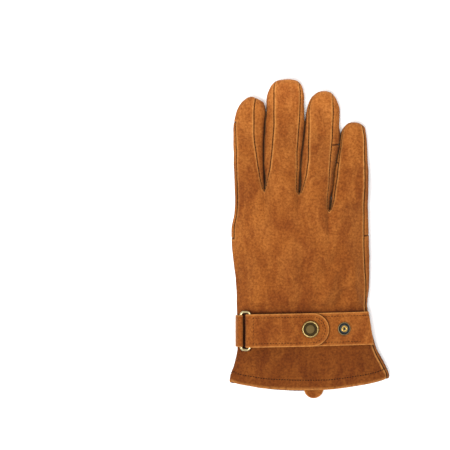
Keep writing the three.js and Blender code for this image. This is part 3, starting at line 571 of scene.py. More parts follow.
def smooth_line(corners: Sequence[Row], closed: bool, steps: int = 60) -> Array:
    """A centripetal curve through points on the table.

    Args:
        corners: the points, x and y.
        closed: whether the last point joins the first.
        steps: how many points each stretch between two corners gets.

    Returns:
        Points evenly spaced enough to measure along.
    """
    points = np.array(corners, float)
    count = len(points)
    made = []
    for i in range(count if closed else count - 1):
        if closed:
            p0, p1, p2, p3 = (points[(i + k) % count] for k in (-1, 0, 1, 2))
        else:
            p1, p2 = points[i], points[i + 1]
            p0 = points[i - 1] if i else 2 * p1 - p2
            p3 = points[i + 2] if i + 2 < count else 2 * p2 - p1
        d0, d1, d2 = (math.sqrt(np.linalg.norm(b - a)) for a, b in ((p0, p1), (p1, p2), (p2, p3)))
        m1 = ((p1 - p0) / d0 - (p2 - p0) / (d0 + d1) + (p2 - p1) / d1) * d1
        m2 = ((p2 - p1) / d1 - (p3 - p1) / (d1 + d2) + (p3 - p2) / d2) * d1
        t = np.linspace(0, 1, steps, endpoint=False)[:, None]
        cubic = p1 + m1 * t + (3 * (p2 - p1) - 2 * m1 - m2) * t**2 + (2 * (p1 - p2) + m1 + m2) * t**3
        made.append(cubic)
    made.append(points[:1] if closed else points[-1:])
    return np.concatenate(made)


def point_at(line: Array, share: Array) -> Array:
    """Points at given shares of a line's length."""
    length = np.concatenate([[0], np.cumsum(np.linalg.norm(np.diff(line, axis=0), axis=1))])
    return np.stack([np.interp(np.asarray(share) * length[-1], length, line[:, k]) for k in range(2)], -1)


def resample(values: Array, at: Array) -> Array:
    """Smooth values between the rows of an array, at fractional row numbers.

    Args:
        values: the array, as a stack of rows.
        at: the row numbers.

    Returns:
        A row for each number.
    """
    last = len(values) - 1
    low = np.clip(np.floor(at).astype(int), 0, last - 1)
    t = (at - low)[:, None, None]
    ahead = np.concatenate([2 * values[:1] - values[1:2], values, 2 * values[-1:] - values[-2:-1]])
    p0, p1, p2, p3 = (ahead[low + k] for k in range(4))
    return p1 + 0.5 * t * (p2 - p0 + t * (2 * p0 - 5 * p1 + 4 * p2 - p3 + t * (3 * (p1 - p2) + p3 - p0)))


def between(value: Array, first: int, size: int) -> Array:
    """Whether a place lies among size places from the first."""
    return (value >= first) & (value < first + size)


@dataclass
class Net:
    """The glove's whole outer surface: welded points, and faces that each belong to a panel."""

    points: Array
    faces: Array
    panels: Array
    grids: dict[str, Array]
    # How deep each point lies in a gap between fingers: the leather is darkened by it as painted shade
    depth: Array

    def normals(self) -> Array:
        """The outward direction at each point.

        Returns:
            A unit vector for each point.
        """
        a, b, c, d = (self.points[self.faces[:, k]] for k in range(4))
        facing = np.cross(c - a, d - b)
        total = np.zeros_like(self.points)
        for k in range(4):
            np.add.at(total, self.faces[:, k], facing)
        return total / np.maximum(1e-9, np.linalg.norm(total, axis=1, keepdims=True))


class Pattern:
    """Lays out the net of the glove: four fingers, the hand down to its hem, and the thumb."""

    def __init__(self) -> None:
        """Names the fingers, their seams and the fine steps of the grids."""
        right = (Panel.INDEX_MIDDLE, Panel.MIDDLE_RING, Panel.RING, Panel.PALM)
        left = (Panel.INDEX_SIDE, Panel.INDEX_MIDDLE, Panel.MIDDLE_RING, Panel.LITTLE)
        outlines = (INDEX_OUTLINE, MIDDLE_OUTLINE, RING_OUTLINE, LITTLE_OUTLINE)
        lengths = (
            (112.8, 114.0, (38.4, 38.4), (40.5, 40.5)),
            (126.4, 128.1, (38.4, 36.0), (40.5, 38.0)),
            (116.8, 119.1, (36.0, 22.4), (38.0, 25.0)),
            (92.0, 94.0, (22.4, 22.4), (25.0, 25.0)),
        )
        forks = ((0.0, 0.7), (0.7, 1.4), (1.4, 1.3), (1.3, 0.0))
        self.fingers = [
            Finger(Table(FINGER_COLUMNS, outline), *length, (f > 0, f < 3), (left[f], right[f]), forks[f])
            for f, (outline, length) in enumerate(zip(outlines, lengths))
        ]
        rows = FINGER_ROWS * FINE_FINGER_ROWS
        self.stations = ((np.arange(rows + 1) / rows) ** FINGER_ROW_POWER)[:, None]
        self.strip_places = crowded(STRIP_COLUMNS * FINE_STRIP)
        self.side_places = crowded(SIDE_COLUMNS * FINE_SIDE)
        inner = [f + self.strip_places[1:] for f in range(4)]
        self.hand_columns = np.concatenate([[0], *inner]) * STRIP_COLUMNS
        self.hand_rows = np.arange(HAND_ROWS * FINE_HAND_ROWS + 1) / FINE_HAND_ROWS
        self.patches: list[tuple[str, Array, int, Array]] = []

    def build(self) -> Net:
        """Lays every patch and welds them into one net.

        Returns:
            The net, still smooth.
        """
        self._lay_fingers()
        self._lay_hand()
        self._lay_thumb()
        return self._weld()

    def _patch(self, name: str, points: Array, outward: int, panels: Array) -> None:
        """Keeps a patch; outward is 1 where rows down and columns right face out."""
        shape = (points.shape[0] - 1, points.shape[1] - 1)
        self.patches.append((name, points, outward, np.broadcast_to(panels, shape)))

    def _lay_fingers(self) -> None:
        """Lays each finger's back strip, palm strip and two side walls."""
        across, down = self.strip_places[None, :], self.side_places[None, :]
        coarse_row = np.arange(FINGER_ROWS * FINE_FINGER_ROWS)[:, None] / FINE_FINGER_ROWS
        strip_column = np.arange(STRIP_COLUMNS * FINE_STRIP)[None, :] / FINE_STRIP
        side_column = np.arange(SIDE_COLUMNS * FINE_SIDE)[None, :] / FINE_SIDE
        in_gusset_rows = coarse_row >= GUSSET_FIRST_ROW
        self.roots: dict[int, list[Array]] = {1: [], -1: []}
        for f, finger in enumerate(self.fingers):
            for up, name in ((1, "back"), (-1, "palm")):
                points = finger.strip(self.stations, across, up)
                panels = np.full((1, 1), number(Panel.BACK if up > 0 else Panel.PALM))
                if up < 0 and f >= 2:
                    first = (3 - f) * (STRIP_COLUMNS - GUSSET_COLUMNS)
                    near = between(strip_column, first, GUSSET_COLUMNS)
                    panels = np.where(in_gusset_rows & near, number(Panel.GUSSET), panels)
                self._patch(f"{name}_{f}", points, up, panels)
                self.roots[up].append(points[-1, 0 if f == 0 else 1:])
            for sign in (1, -1):
                points = finger.wall(self.stations, down, sign)
                panels = np.full((1, 1), number(finger.side_panels[sign > 0]))
                if (f == 2 and sign > 0) or (f == 3 and sign < 0):
                    panels = np.where(in_gusset_rows, number(Panel.GUSSET), panels)
                if f == 0 and sign < 0:
                    split = np.where(side_column < SIDE_COLUMNS / 2, number(Panel.BACK), number(Panel.PALM))
                    panels = np.where(coarse_row < SIDE_PANEL_FIRST_ROW, split, panels)
                self._patch(f"side_{f}_{'right' if sign > 0 else 'left'}", points, sign, panels)

    def _furrow(self, below_fork: Array, depth: float) -> Array:
        """Depth of the furrows that run down from the forks, for each column of the hand.

        Args:
            below_fork: how far below its fork each point lies.
            depth: a furrow's depth at its fork.

        Returns:
            The depth at each point.
        """
        finger = np.minimum(3, np.floor(self.hand_columns / STRIP_COLUMNS)).astype(int)
        across = self.hand_columns / STRIP_COLUMNS - finger
        share = np.array([self.fingers[f].furrow(a) for f, a in zip(finger, across)])
        return depth * share * bump(below_fork, FURROW_LENGTH)

    def _rows(self, roots: Array, at: Array, rows: Array, up: int) -> Array:
        """Rows of the hand from its forks to its hem, seen from above.

        Args:
            roots: the points of the first row.
            at: where each column lies across the hand at the hem, from 0 to 1.
            rows: where each row lies, from 0 to 1.
            up: 1 for the back, -1 for the palm.

        Returns:
            A grid of x and y.
        """
        x0, y0 = roots[:, 0], roots[:, 1]
        left, right = HAND.seams(y0, up)
        share = lerp((x0 - left) / (right - left), at, smoothstep(rows, 0, 0.45)[:, None])
        end_x = lerp(*HAND.seams(HAND.hem(np.zeros(1), 1), up), at)
        y = lerp(y0, HAND.hem(end_x, up), rows[:, None])
        made = np.stack([lerp(*HAND.seams(y, up), share), y], axis=-1)
        made[0] = roots[:, :2]
        return made

    def _lay_hand(self) -> None:
        """Lays the back of the hand, the palm with its thumb hole, and both sides."""
        at, rows = self.hand_columns / (4 * STRIP_COLUMNS), self.hand_rows / HAND_ROWS
        roots = {up: np.concatenate(made) for up, made in self.roots.items()}
        plan = self._rows(roots[1], at, rows, 1)
        back = stack(plan[..., 0], plan[..., 1], HAND.top(plan[..., 0], plan[..., 1]))
        back[..., 2] -= self._furrow(roots[1][:, 1] - plan[..., 1], FURROW_DEPTH_BACK)
        back[0] = roots[1]
        plan = self._palm_plan(roots[-1])
        palm = stack(plan[..., 0], plan[..., 1], HAND.bottom(plan[..., 0], plan[..., 1]))
        palm[..., 2] += self._furrow(roots[-1][:, 1] - plan[..., 1], FURROW_DEPTH_PALM)
        palm[0] = roots[-1]
        self.palm = palm

        coarse_columns = np.arange(4 * STRIP_COLUMNS * FINE_STRIP) / FINE_STRIP
        row, column = np.meshgrid(self.hand_rows[:-1], coarse_columns, indexing="ij")
        panels = np.full(row.shape, number(Panel.PALM))
        middle = 3 * STRIP_COLUMNS
        gusset = (row < GUSSET_HAND_ROWS) & between(column, middle - GUSSET_COLUMNS, 2 * GUSSET_COLUMNS)
        panels[gusset] = number(Panel.GUSSET)
        panels[(row >= PATCH_FIRST_ROW) & (column >= PATCH_FIRST_COLUMN)] = number(Panel.HEEL)
        hole = between(row, HOLE_FIRST_ROW, HOLE_SIZE) & between(column, HOLE_FIRST_COLUMN, HOLE_SIZE)
        panels[hole] = NO_PANEL
        self._patch("back", back, 1, np.full((1, 1), number(Panel.BACK)))
        self._patch("palm", palm, -1, panels)
        for sign, name in ((1, "hand_right"), (-1, "hand_left")):
            upper, lower = (grid[:, -1 if sign > 0 else 0, None] for grid in (back, palm))
            share = self.side_places[None, :]
            dx, dz = HAND.section(upper[..., 1]).bulge(upper[..., 0], lower[..., 0], sign, share)
            points = lerp(upper, lower, share[..., None]) + stack(dx, 0, dz)
            above = self.hand_rows[:-1, None] < (PATCH_FIRST_ROW if sign > 0 else SIDE_PANEL_LAST_HAND_ROW)
            pair = (Panel.PALM, Panel.HEEL) if sign > 0 else (Panel.INDEX_SIDE, Panel.BACK)
            self._patch(name, points, sign, np.where(above, number(pair[0]), number(pair[1])))

    def _palm_plan(self, roots: Array) -> Array:
        """The palm from above, its grid eased round the thumb hole and the heel patch.

        Args:
            roots: the fine points of the first row.

        Returns:
            A fine grid of x and y.
        """
        coarse = np.arange(4 * STRIP_COLUMNS + 1)
        near = np.searchsorted(self.hand_columns, coarse - 1e-6)
        coarse_rows = np.arange(HAND_ROWS + 1) / HAND_ROWS
        rough = self._rows(roots[near], coarse / coarse[-1], coarse_rows, -1)
        self._relax(rough)
        fine = resample(resample(rough, self.hand_rows).swapaxes(0, 1), self.hand_columns).swapaxes(0, 1)
        wanted = fine.copy()
        wanted[0] = roots[:, :2]
        for side in (0, -1):
            wanted[:, side, 0] = HAND.seams(fine[:, side, 1], -1)[side]
        wanted[-1, :, 1] = HAND.hem(fine[-1, :, 0], -1)
        pinned = np.zeros(fine.shape[:2], bool)
        pinned[0] = pinned[-1] = True
        pinned[:, 0] = pinned[:, -1] = True
        for (r, c), share in zip(*self._ring(fine=True)):
            wanted[r, c] = point_at(smooth_line(THUMB_HOLE, True), share)
            pinned[r, c] = True
        first, column = PATCH_FIRST_ROW * FINE_HAND_ROWS, PATCH_FIRST_COLUMN * FINE_STRIP
        edge = smooth_line(PATCH_EDGE, False)
        share = (self.hand_rows[first:] - PATCH_FIRST_ROW) / (HAND_ROWS - PATCH_FIRST_ROW)
        wanted[first:, column] = point_at(edge, share)
        turn = (4 * STRIP_COLUMNS - 1) * FINE_STRIP
        wanted[first, column:turn, 1] = PATCH_TOP_Y
        wanted[first, turn:, 1] = lerp(PATCH_TOP_Y, fine[first, -1, 1], np.linspace(0, 1, FINE_STRIP + 1))
        pinned[first:, column] = pinned[first, column:] = True
        move = np.where(pinned[..., None], wanted - fine, 0)
        for _ in range(4 * RELAXING_PASSES):
            ahead = np.pad(move, ((1, 1), (1, 1), (0, 0)), mode="edge")
            spread = (ahead[:-2, 1:-1] + ahead[2:, 1:-1] + ahead[1:-1, :-2] + ahead[1:-1, 2:]) / 4
            move = np.where(pinned[..., None], move, spread)
        return fine + move

    def _ring(self, fine: bool) -> tuple[list[tuple[int, int]], Array]:
        """Grid places round the thumb hole, clockwise from its upper left, with their share.

        Args:
            fine: whether the places are the fine net's or the coarse one's.

        Returns:
            The places, as row and column, and each one's share of the way round.
        """
        per_row, per_column = (FINE_HAND_ROWS, FINE_STRIP) if fine else (1, 1)
        top, left = HOLE_FIRST_ROW * per_row, HOLE_FIRST_COLUMN * per_column
        height, width = HOLE_SIZE * per_row, HOLE_SIZE * per_column
        places = [(top, left + i) for i in range(width)]
        places += [(top + i, left + width) for i in range(height)]
        places += [(top + height, left + width - i) for i in range(width)]
        places += [(top + height - i, left) for i in range(height)]
        sides = [np.arange(n) / n for n in (width, height, width, height)]
        return places, np.concatenate([(k + side) / 4 for k, side in enumerate(sides)])

    def _relax(self, rows: Array) -> None:
        """Eases the coarse palm round its pinned places, as in the solids.

        Args:
            rows: the coarse grid of x and y, which is changed.
        """
        hole = smooth_line(THUMB_HOLE, True)
        last_row, last_column = rows.shape[0] - 1, rows.shape[1] - 1
        pinned = np.zeros(rows.shape[:2], bool)
        for (r, c), share in zip(*self._ring(fine=False)):
            rows[r, c] = point_at(hole, share)
            pinned[r, c] = True
        edge = smooth_line(PATCH_EDGE, False)
        shares = np.linspace(0, 1, last_row - PATCH_FIRST_ROW + 1)
        rows[PATCH_FIRST_ROW:, PATCH_FIRST_COLUMN] = point_at(edge, shares)
        pinned[PATCH_FIRST_ROW:, PATCH_FIRST_COLUMN] = True
        corner = rows[PATCH_FIRST_ROW, PATCH_FIRST_COLUMN, 0] + PATCH_CORNER_OUT
        for c in range(PATCH_FIRST_COLUMN + 1, last_column):
            share = (c - PATCH_FIRST_COLUMN) / (last_column - PATCH_FIRST_COLUMN)
            rows[PATCH_FIRST_ROW, c, 0] = lerp(corner, rows[PATCH_FIRST_ROW, last_column, 0], share)
            rows[PATCH_FIRST_ROW, c, 1] = PATCH_TOP_Y
            pinned[PATCH_FIRST_ROW, c] = True
        loose = [(r, c) for r, c in np.argwhere(~pinned) if r > 0 and 0 < c < last_column]
        for _ in range(RELAXING_PASSES):
            for r, c in loose:
                if r < last_row:
                    rows[r, c] = (rows[r - 1, c] + rows[r + 1, c] + rows[r, c - 1] + rows[r, c + 1]) / 4
                else:
                    rows[r, c, 0] = (rows[r, c - 1, 0] + rows[r, c + 1, 0]) / 2

    def _lay_thumb(self) -> None:
        """Lays the thumb: it drops out of the palm, bends and lies flat to its tip."""
        places, shares = self._ring(fine=True)
        hole = np.array([self.palm[r, c] for r, c in places])
        station = Table(THUMB_COLUMNS, THUMB_STATIONS)
        bend_end = self._thumb_ring(station, THUMB_BEND_END, shares)
        rings = []
        for k in np.arange(THUMB_ROWS * FINE_THUMB_ROWS + 1) / FINE_THUMB_ROWS:
            if k <= THUMB_BEND_ROWS:
                turned = k / THUMB_BEND_ROWS
                drop = 1 - (1 - turned) ** THUMB_DROP_POWER
                share = np.array([turned, turned, drop])
                rings.append(hole + (bend_end - hole) * share)
            else:
                past = ((k - THUMB_BEND_ROWS) / (THUMB_ROWS - THUMB_BEND_ROWS)) ** THUMB_ROW_POWER
                rings.append(self._thumb_ring(station, lerp(THUMB_BEND_END, 1, past), shares))
        points = np.stack(rings)
        points = np.concatenate([points, points[:, :1]], axis=1)
        self._patch("thumb", points, -1, np.full((1, 1), number(Panel.THUMB)))

    def _thumb_ring(self, station: Table, along: float, shares: Array) -> Array:
        """One ring of the thumb at a station between its crotch and its tip.

        Args:
            station: the thumb's table.
            along: the station.
            shares: shares of the way round.

        Returns:
            The ring's points.
        """
        size = {name: station.value(name, along) for name in THUMB_COLUMNS[1:]}
        phi = math.pi * (THUMB_FIRST_ANGLE - 2 * shares)
        across = (signed_power(np.cos(phi), 2 / FINGER_SQUARENESS) + 1) / 2
        x = lerp(size["left_x"], size["right_x"], across)
        y = lerp(size["left_y"], size["right_y"], across)
        nose = 1 - min(1, (1 - along) / THUMB_TIP_ROUNDING)
        half = size["top"] / 2
        reach = half * crown(nose, FINGER_SQUARENESS) * signed_power(np.sin(phi), 2 / FINGER_SQUARENESS)
        top = np.maximum(1, HAND.bottom(x, y) - THUMB_CLEARANCE)
        return stack(x, y, np.clip(half + reach * np.where(reach < 0, THUMB_SAG, 1), 0, top))

    def _weld(self) -> Net:
        """Joins the patches where their points coincide, and drops faces with no area.

        Returns:
            The welded net.
        """
        every = np.concatenate([points.reshape(-1, 3) for _, points, _, _ in self.patches])
        _, first, inverse = np.unique(np.round(every, 3), axis=0, return_index=True, return_inverse=True)
        inverse = inverse.reshape(-1)
        grids, faces, panels, start = {}, [], [], 0
        for name, points, outward, owners in self.patches:
            rows, columns = points.shape[:2]
            ids = inverse[start:start + rows * columns].reshape(rows, columns)
            start += rows * columns
            grids[name] = ids
            corners = [ids[:-1, :-1], ids[1:, :-1], ids[1:, 1:], ids[:-1, 1:]]
            corners = corners if outward > 0 else corners[::-1]
            quads = np.stack(corners, axis=-1).reshape(-1, 4)
            kept = owners.reshape(-1) != NO_PANEL
            faces.append(quads[kept])
            panels.append(owners.reshape(-1)[kept])
        quads = np.concatenate(faces)
        distinct = np.array([len(set(quad)) for quad in quads])
        kept = distinct > 2
        return Net(every[first], quads[kept], np.concatenate(panels)[kept], grids, np.zeros(len(first)))


FOLD_ENDS = ((-0.2, 0.25), (0.75, 1.2))


@dataclass(frozen=True)
class Fold:
    """A soft ridge or valley along a line seen from above; a valley's height is negative."""

    start: tuple[float, float]
    end: tuple[float, float]
    width: float
    height: float

    def rise(self, x: Array, y: Array) -> Array:
        """The fold's height at each place.

        Args:
            x: places across the hand.
            y: places along it.

        Returns:
            The heights.
        """
        dx, dy = self.end[0] - self.start[0], self.end[1] - self.start[1]
        along = ((x - self.start[0]) * dx + (y - self.start[1]) * dy) / (dx * dx + dy * dy)
        held = np.clip(along, 0, 1)
        away = np.hypot(x - self.start[0] - held * dx, y - self.start[1] - held * dy)
        fade = window(along, *FOLD_ENDS)
        return self.height * bump(away, self.width) * fade


BACK_FOLDS = [
    Fold((-15, -4), (-15, -50), 5.0, 0.9),
    Fold((-27, -10), (-25, -52), 5.0, -0.6),
    Fold((-4, -14), (-5, -52), 4.0, -0.6),
    Fold((2, -22), (1, -54), 4.5, 0.8),
    Fold((20, -28), (9, -56), 4.0, 1.0),
    Fold((27, -10), (11, -26), 4.5, -0.8),
    Fold((30, -40), (22, -57), 4.5, -1.5),
    Fold((35, -14), (37, -50), 4.5, 0.9),
    Fold((31, -34), (40, -52), 2.5, 0.7),
    Fold((-40, -20), (-44, -50), 6.0, 0.6),
    Fold((-50, 10), (-30, 16), 6.0, -0.5),
    Fold((-54, 24), (-42, 26), 5.0, -0.6),
    Fold((-34, 58), (-14, 56), 5.0, -0.5),
    Fold((-30, 92), (-8, 94), 4.0, -0.4),
    Fold((-4, 52), (14, 56), 5.0, -0.5),
    Fold((0, 88), (18, 84), 4.0, -0.4),
    Fold((20, 34), (44, 30), 5.0, -0.5),
    Fold((26, 62), (42, 60), 4.0, -0.4),
    Fold((-60, 70), (-46, 72), 5.0, -0.4),
    Fold((-30, -92), (-34, -112), 6.0, 0.5),
    Fold((8, -92), (6, -114), 7.0, -0.6),
    Fold((36, -92), (44, -110), 6.0, 0.6),
    Fold((52, -90), (60, -106), 4.0, -0.5),
    Fold((-54, -56.5), (46, -55.0), 3.0, -0.8),
    Fold((-15, 123), (-9, 119), 2.2, -0.5),
    Fold((-20, 112), (-15, 107), 2.4, -0.4),
    Fold((12, 100), (16, 96), 2.5, -0.4),
    Fold((6, 86), (12, 82), 3.0, -0.4),
]
PALM_FOLDS = [
    Fold((10, 30), (-4, 14), 4.0, -0.6),
    Fold((-28, 34), (-34, 14), 4.5, -0.6),
    Fold((36, 24), (30, 8), 4.0, -0.5),
    Fold((14, -20), (40, -36), 5.0, -0.5),
    Fold((12, -48), (38, -52), 4.0, 0.5),
]


@dataclass(frozen=True)
class Lumps:
    """Smooth noise: its height, the size of its lumps along x, y and z, and its own seed."""

    height: float
    size: Row
    seed: float

    def rise(self, points: Array) -> Array:
        """The noise at each point, from about minus its height to its height."""
        placed = points / np.array(self.size, float) + self.seed
        return self.height * np.array([noise.noise(Vector(place)) for place in placed])


BROAD_LUMPS = Lumps(0.7, (26, 34, 26), 3.1)
RIPPLES = Lumps(0.36, (8, 11, 8), 7.7)
FINGER_WRINKLES = Lumps(0.35, (22, 5, 22), 1.9)
GATHER_WANDER = Lumps(0.16, (18, 18, 18), 5.0)
DYE_PATCHES = Lumps(0.05, (40, 30, 40), 11.3)
SHEET_DYE_PATCHES = Lumps(0.06, (22, 22, 22), 4.4)
STRAP_WAVE = Lumps(0.16, (14, 9, 14), 2.2)
RING_TARNISH = Lumps(0.3, (6, 6, 6), 8.8)


@dataclass
class Softness:
    """How the leather gives: folds, small unevenness and the gathers at the wrist."""

    fold_share: float = 2.0
    fingers_from: Row = (30.0, 50.0)
    gather_pitch: float = 7.6
    gather_height: float = 0.9
    gather_sink: float = 0.35
    gather_y: float = -74.4
    gather_reach: float = 11.0
    gather_sides: Spans = ((-54.0, -46.0), (38.0, 48.0))
    strap_ends: Spans = ((-94.0, -87.0), (-58.0, -51.0))
    strap_flattening: float = 0.85
    thumb_ends: Spans = ((-58.0, -40.0), (50.0, 70.0))
    thumb_middle_x: float = -18.0
    thumb_half_width: float = 36.0
    thumb_top: float = 14.0
    thumb_flattening: float = 0.6
    gap_closed_below: float = 3.4
    gap_open_above: float = 5.44
    gap_top_fade: Row = (-6.0, 2.0)
    gap_left: float = 0.06
    gap_tops: tuple[float, float, float] = (101.0, 97.0, 89.0)
    bulge_ends: Spans = ((0.25, 0.6), (0.75, 1.0))
    # Where down the walls the painted shade in the gaps starts, for wide gaps and for narrow ones
    dark_below: Row = (0.32, 0.44)
    narrow_gap: Row = (1.0, 2.4)
    narrow_dark_below: Row = (0.14, 0.26)

    def apply(self, net: Net) -> None:
        """Moves the net's points along their normals, but never below the surface they lie on.

        Args:
            net: the net, whose points are moved.
        """
        normals = net.normals()
        x, y, z = net.points.T
        back, palm = (smoothstep(up * normals[:, 2], -0.1, 0.5) for up in (1, -1))
        rise = BROAD_LUMPS.rise(net.points) + RIPPLES.rise(net.points)
        rise += smoothstep(y, *self.fingers_from) * back * FINGER_WRINKLES.rise(net.points)
        rise += self.fold_share * back * sum(fold.rise(x, y) for fold in BACK_FOLDS)
        rise += self.fold_share * palm * sum(fold.rise(x, y) for fold in PALM_FOLDS)
        wave = np.cos(2 * math.pi * (x + GATHER_WANDER.rise(net.points)) / self.gather_pitch)
        gathered = bump(y - self.gather_y, self.gather_reach) * window(x, *self.gather_sides)
        rise += palm * self.gather_height * gathered * (wave - self.gather_sink)
        rise *= 1 - self.strap_flattening * window(y, *self.strap_ends) * back
        on_thumb = (z < self.thumb_top) & (np.abs(x - self.thumb_middle_x) < self.thumb_half_width)
        rise *= 1 - self.thumb_flattening * window(y, *self.thumb_ends) * on_thumb * (1 - back)
        net.points = net.points + normals * rise[:, None]
        self._close_gaps(net)
        net.points[:, 2] = np.maximum(net.points[:, 2], np.minimum(0.0, z))

    def _close_gaps(self, net: Net) -> None:
        """Lets the lower parts of neighbouring fingers' walls bulge until they nearly touch.

        Args:
            net: the net, whose points are moved and marked with their depth in a gap, by which the leather is
                darkened as painted shade.
        """
        moved = net.points.copy()
        for f in range(3):
            walls = (net.grids[f"side_{f}_right"], net.grids[f"side_{f + 1}_left"])
            for own, other, sign in ((*walls, 1), (*walls[::-1], -1)):
                down = np.broadcast_to(np.linspace(0, 1, own.shape[1]), own.shape)[:, 1:-1].reshape(-1)
                ids = own[:, 1:-1].reshape(-1)
                starts, ends = (net.points[rows].reshape(-1, 3) for rows in (other[:-1], other[1:]))
                gap = distance_to(net.points[ids], starts, ends)
                share = 1 - smoothstep(gap, self.gap_closed_below, self.gap_open_above)
                share *= 1 - smoothstep(net.points[ids, 1] - self.gap_tops[f], *self.gap_top_fade)
                bulge = share * window(down, *self.bulge_ends)
                moved[ids, 0] = net.points[ids, 0] + sign * bulge * np.maximum(0, (gap - self.gap_left) / 2)
                narrow = (1 - smoothstep(gap, *self.narrow_gap)) * smoothstep(down, *self.narrow_dark_below)
                # The depth darkens the leather's colour as painted shade between the fingers
                net.depth[ids] = np.maximum(share * smoothstep(down, *self.dark_below), narrow)
        net.points = moved


def pattern_shift() -> Array:
    """How far the solids were moved from the pattern's own frame, read off the pull tab."""
    low = np.array(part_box("pull_tab")[0]) / MM
    return low - np.array([TAB_X - TAB_HALF_WIDTH, TAB_TIP_Y, TAB_HEIGHT])


def stand(name: str, data: bpy.types.ID) -> Piece:
    """Puts a mesh, a light or a camera into the scene, at the origin.

    Args:
        name: the object's name.
        data: the mesh, light or camera.

    Returns:
        The object.
    """
    made = bpy.data.objects.new(name, data)
    bpy.context.scene.collection.objects.link(made)
    return made


@dataclass
class Workshop:
    """Turns points in the pattern's frame into pieces of the model."""

    shift: Array = field(default_factory=pattern_shift)

    def mesh_object(
        self, name: str, points: Array, faces: Sequence[Sequence[int]], marks: dict[str, Array]
    ) -> Piece:
        """Makes a smooth-shaded mesh object that sits at the origin.

        Args:
            name: the piece's name.
            points: its points in millimetres, in the pattern's frame.
            faces: its faces, facing outwards.
            marks: named values, one for each point.

        Returns:
            The object, linked to the scene.
        """
        mesh = bpy.data.meshes.new(name)
        placed = (np.asarray(points, float) + self.shift) * MM
        mesh.from_pydata(placed.tolist(), [], [list(map(int, f)) for f in faces])
        for mark, values in marks.items():
            layer = mesh.attributes.new(mark, "FLOAT", "POINT")
            layer.data.foreach_set("value", np.asarray(values, np.float32))
        mesh.polygons.foreach_set("use_smooth", [True] * len(mesh.polygons))
        mesh.update()
        return stand(name, mesh)

    def line_object(self, name: str, lines: Sequence[Array]) -> Piece:
        """Makes an object of open lines, in the pattern's frame.

        Args:
            name: its name.
            lines: each line's points.

        Returns:
            The object.
        """
        mesh = bpy.data.meshes.new(name)
        points = np.concatenate(lines)
        edges, start = [], 0
        for line in lines:
            edges += [(start + i, start + i + 1) for i in range(len(line) - 1)]
            start += len(line)
        mesh.from_pydata(((points + self.shift) * MM).tolist(), edges, [])
        return stand(name, mesh)

    @staticmethod
    def finish(piece: Piece, material: Material, slot: str, *nodes: str) -> None:
        """Gives a piece its material, hangs it on the body and hides the solids that it replaces.

        Args:
            piece: the piece.
            material: its material.
            slot: its finish's slot; not used.
            nodes: the solids that it replaces, if any.
        """
        piece.data.materials.clear()
        piece.data.materials.append(material)
        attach(piece, BODY)
        if nodes:
            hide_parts(*nodes)
        log.info("%s: %d faces", piece.name, len(piece.data.polygons))


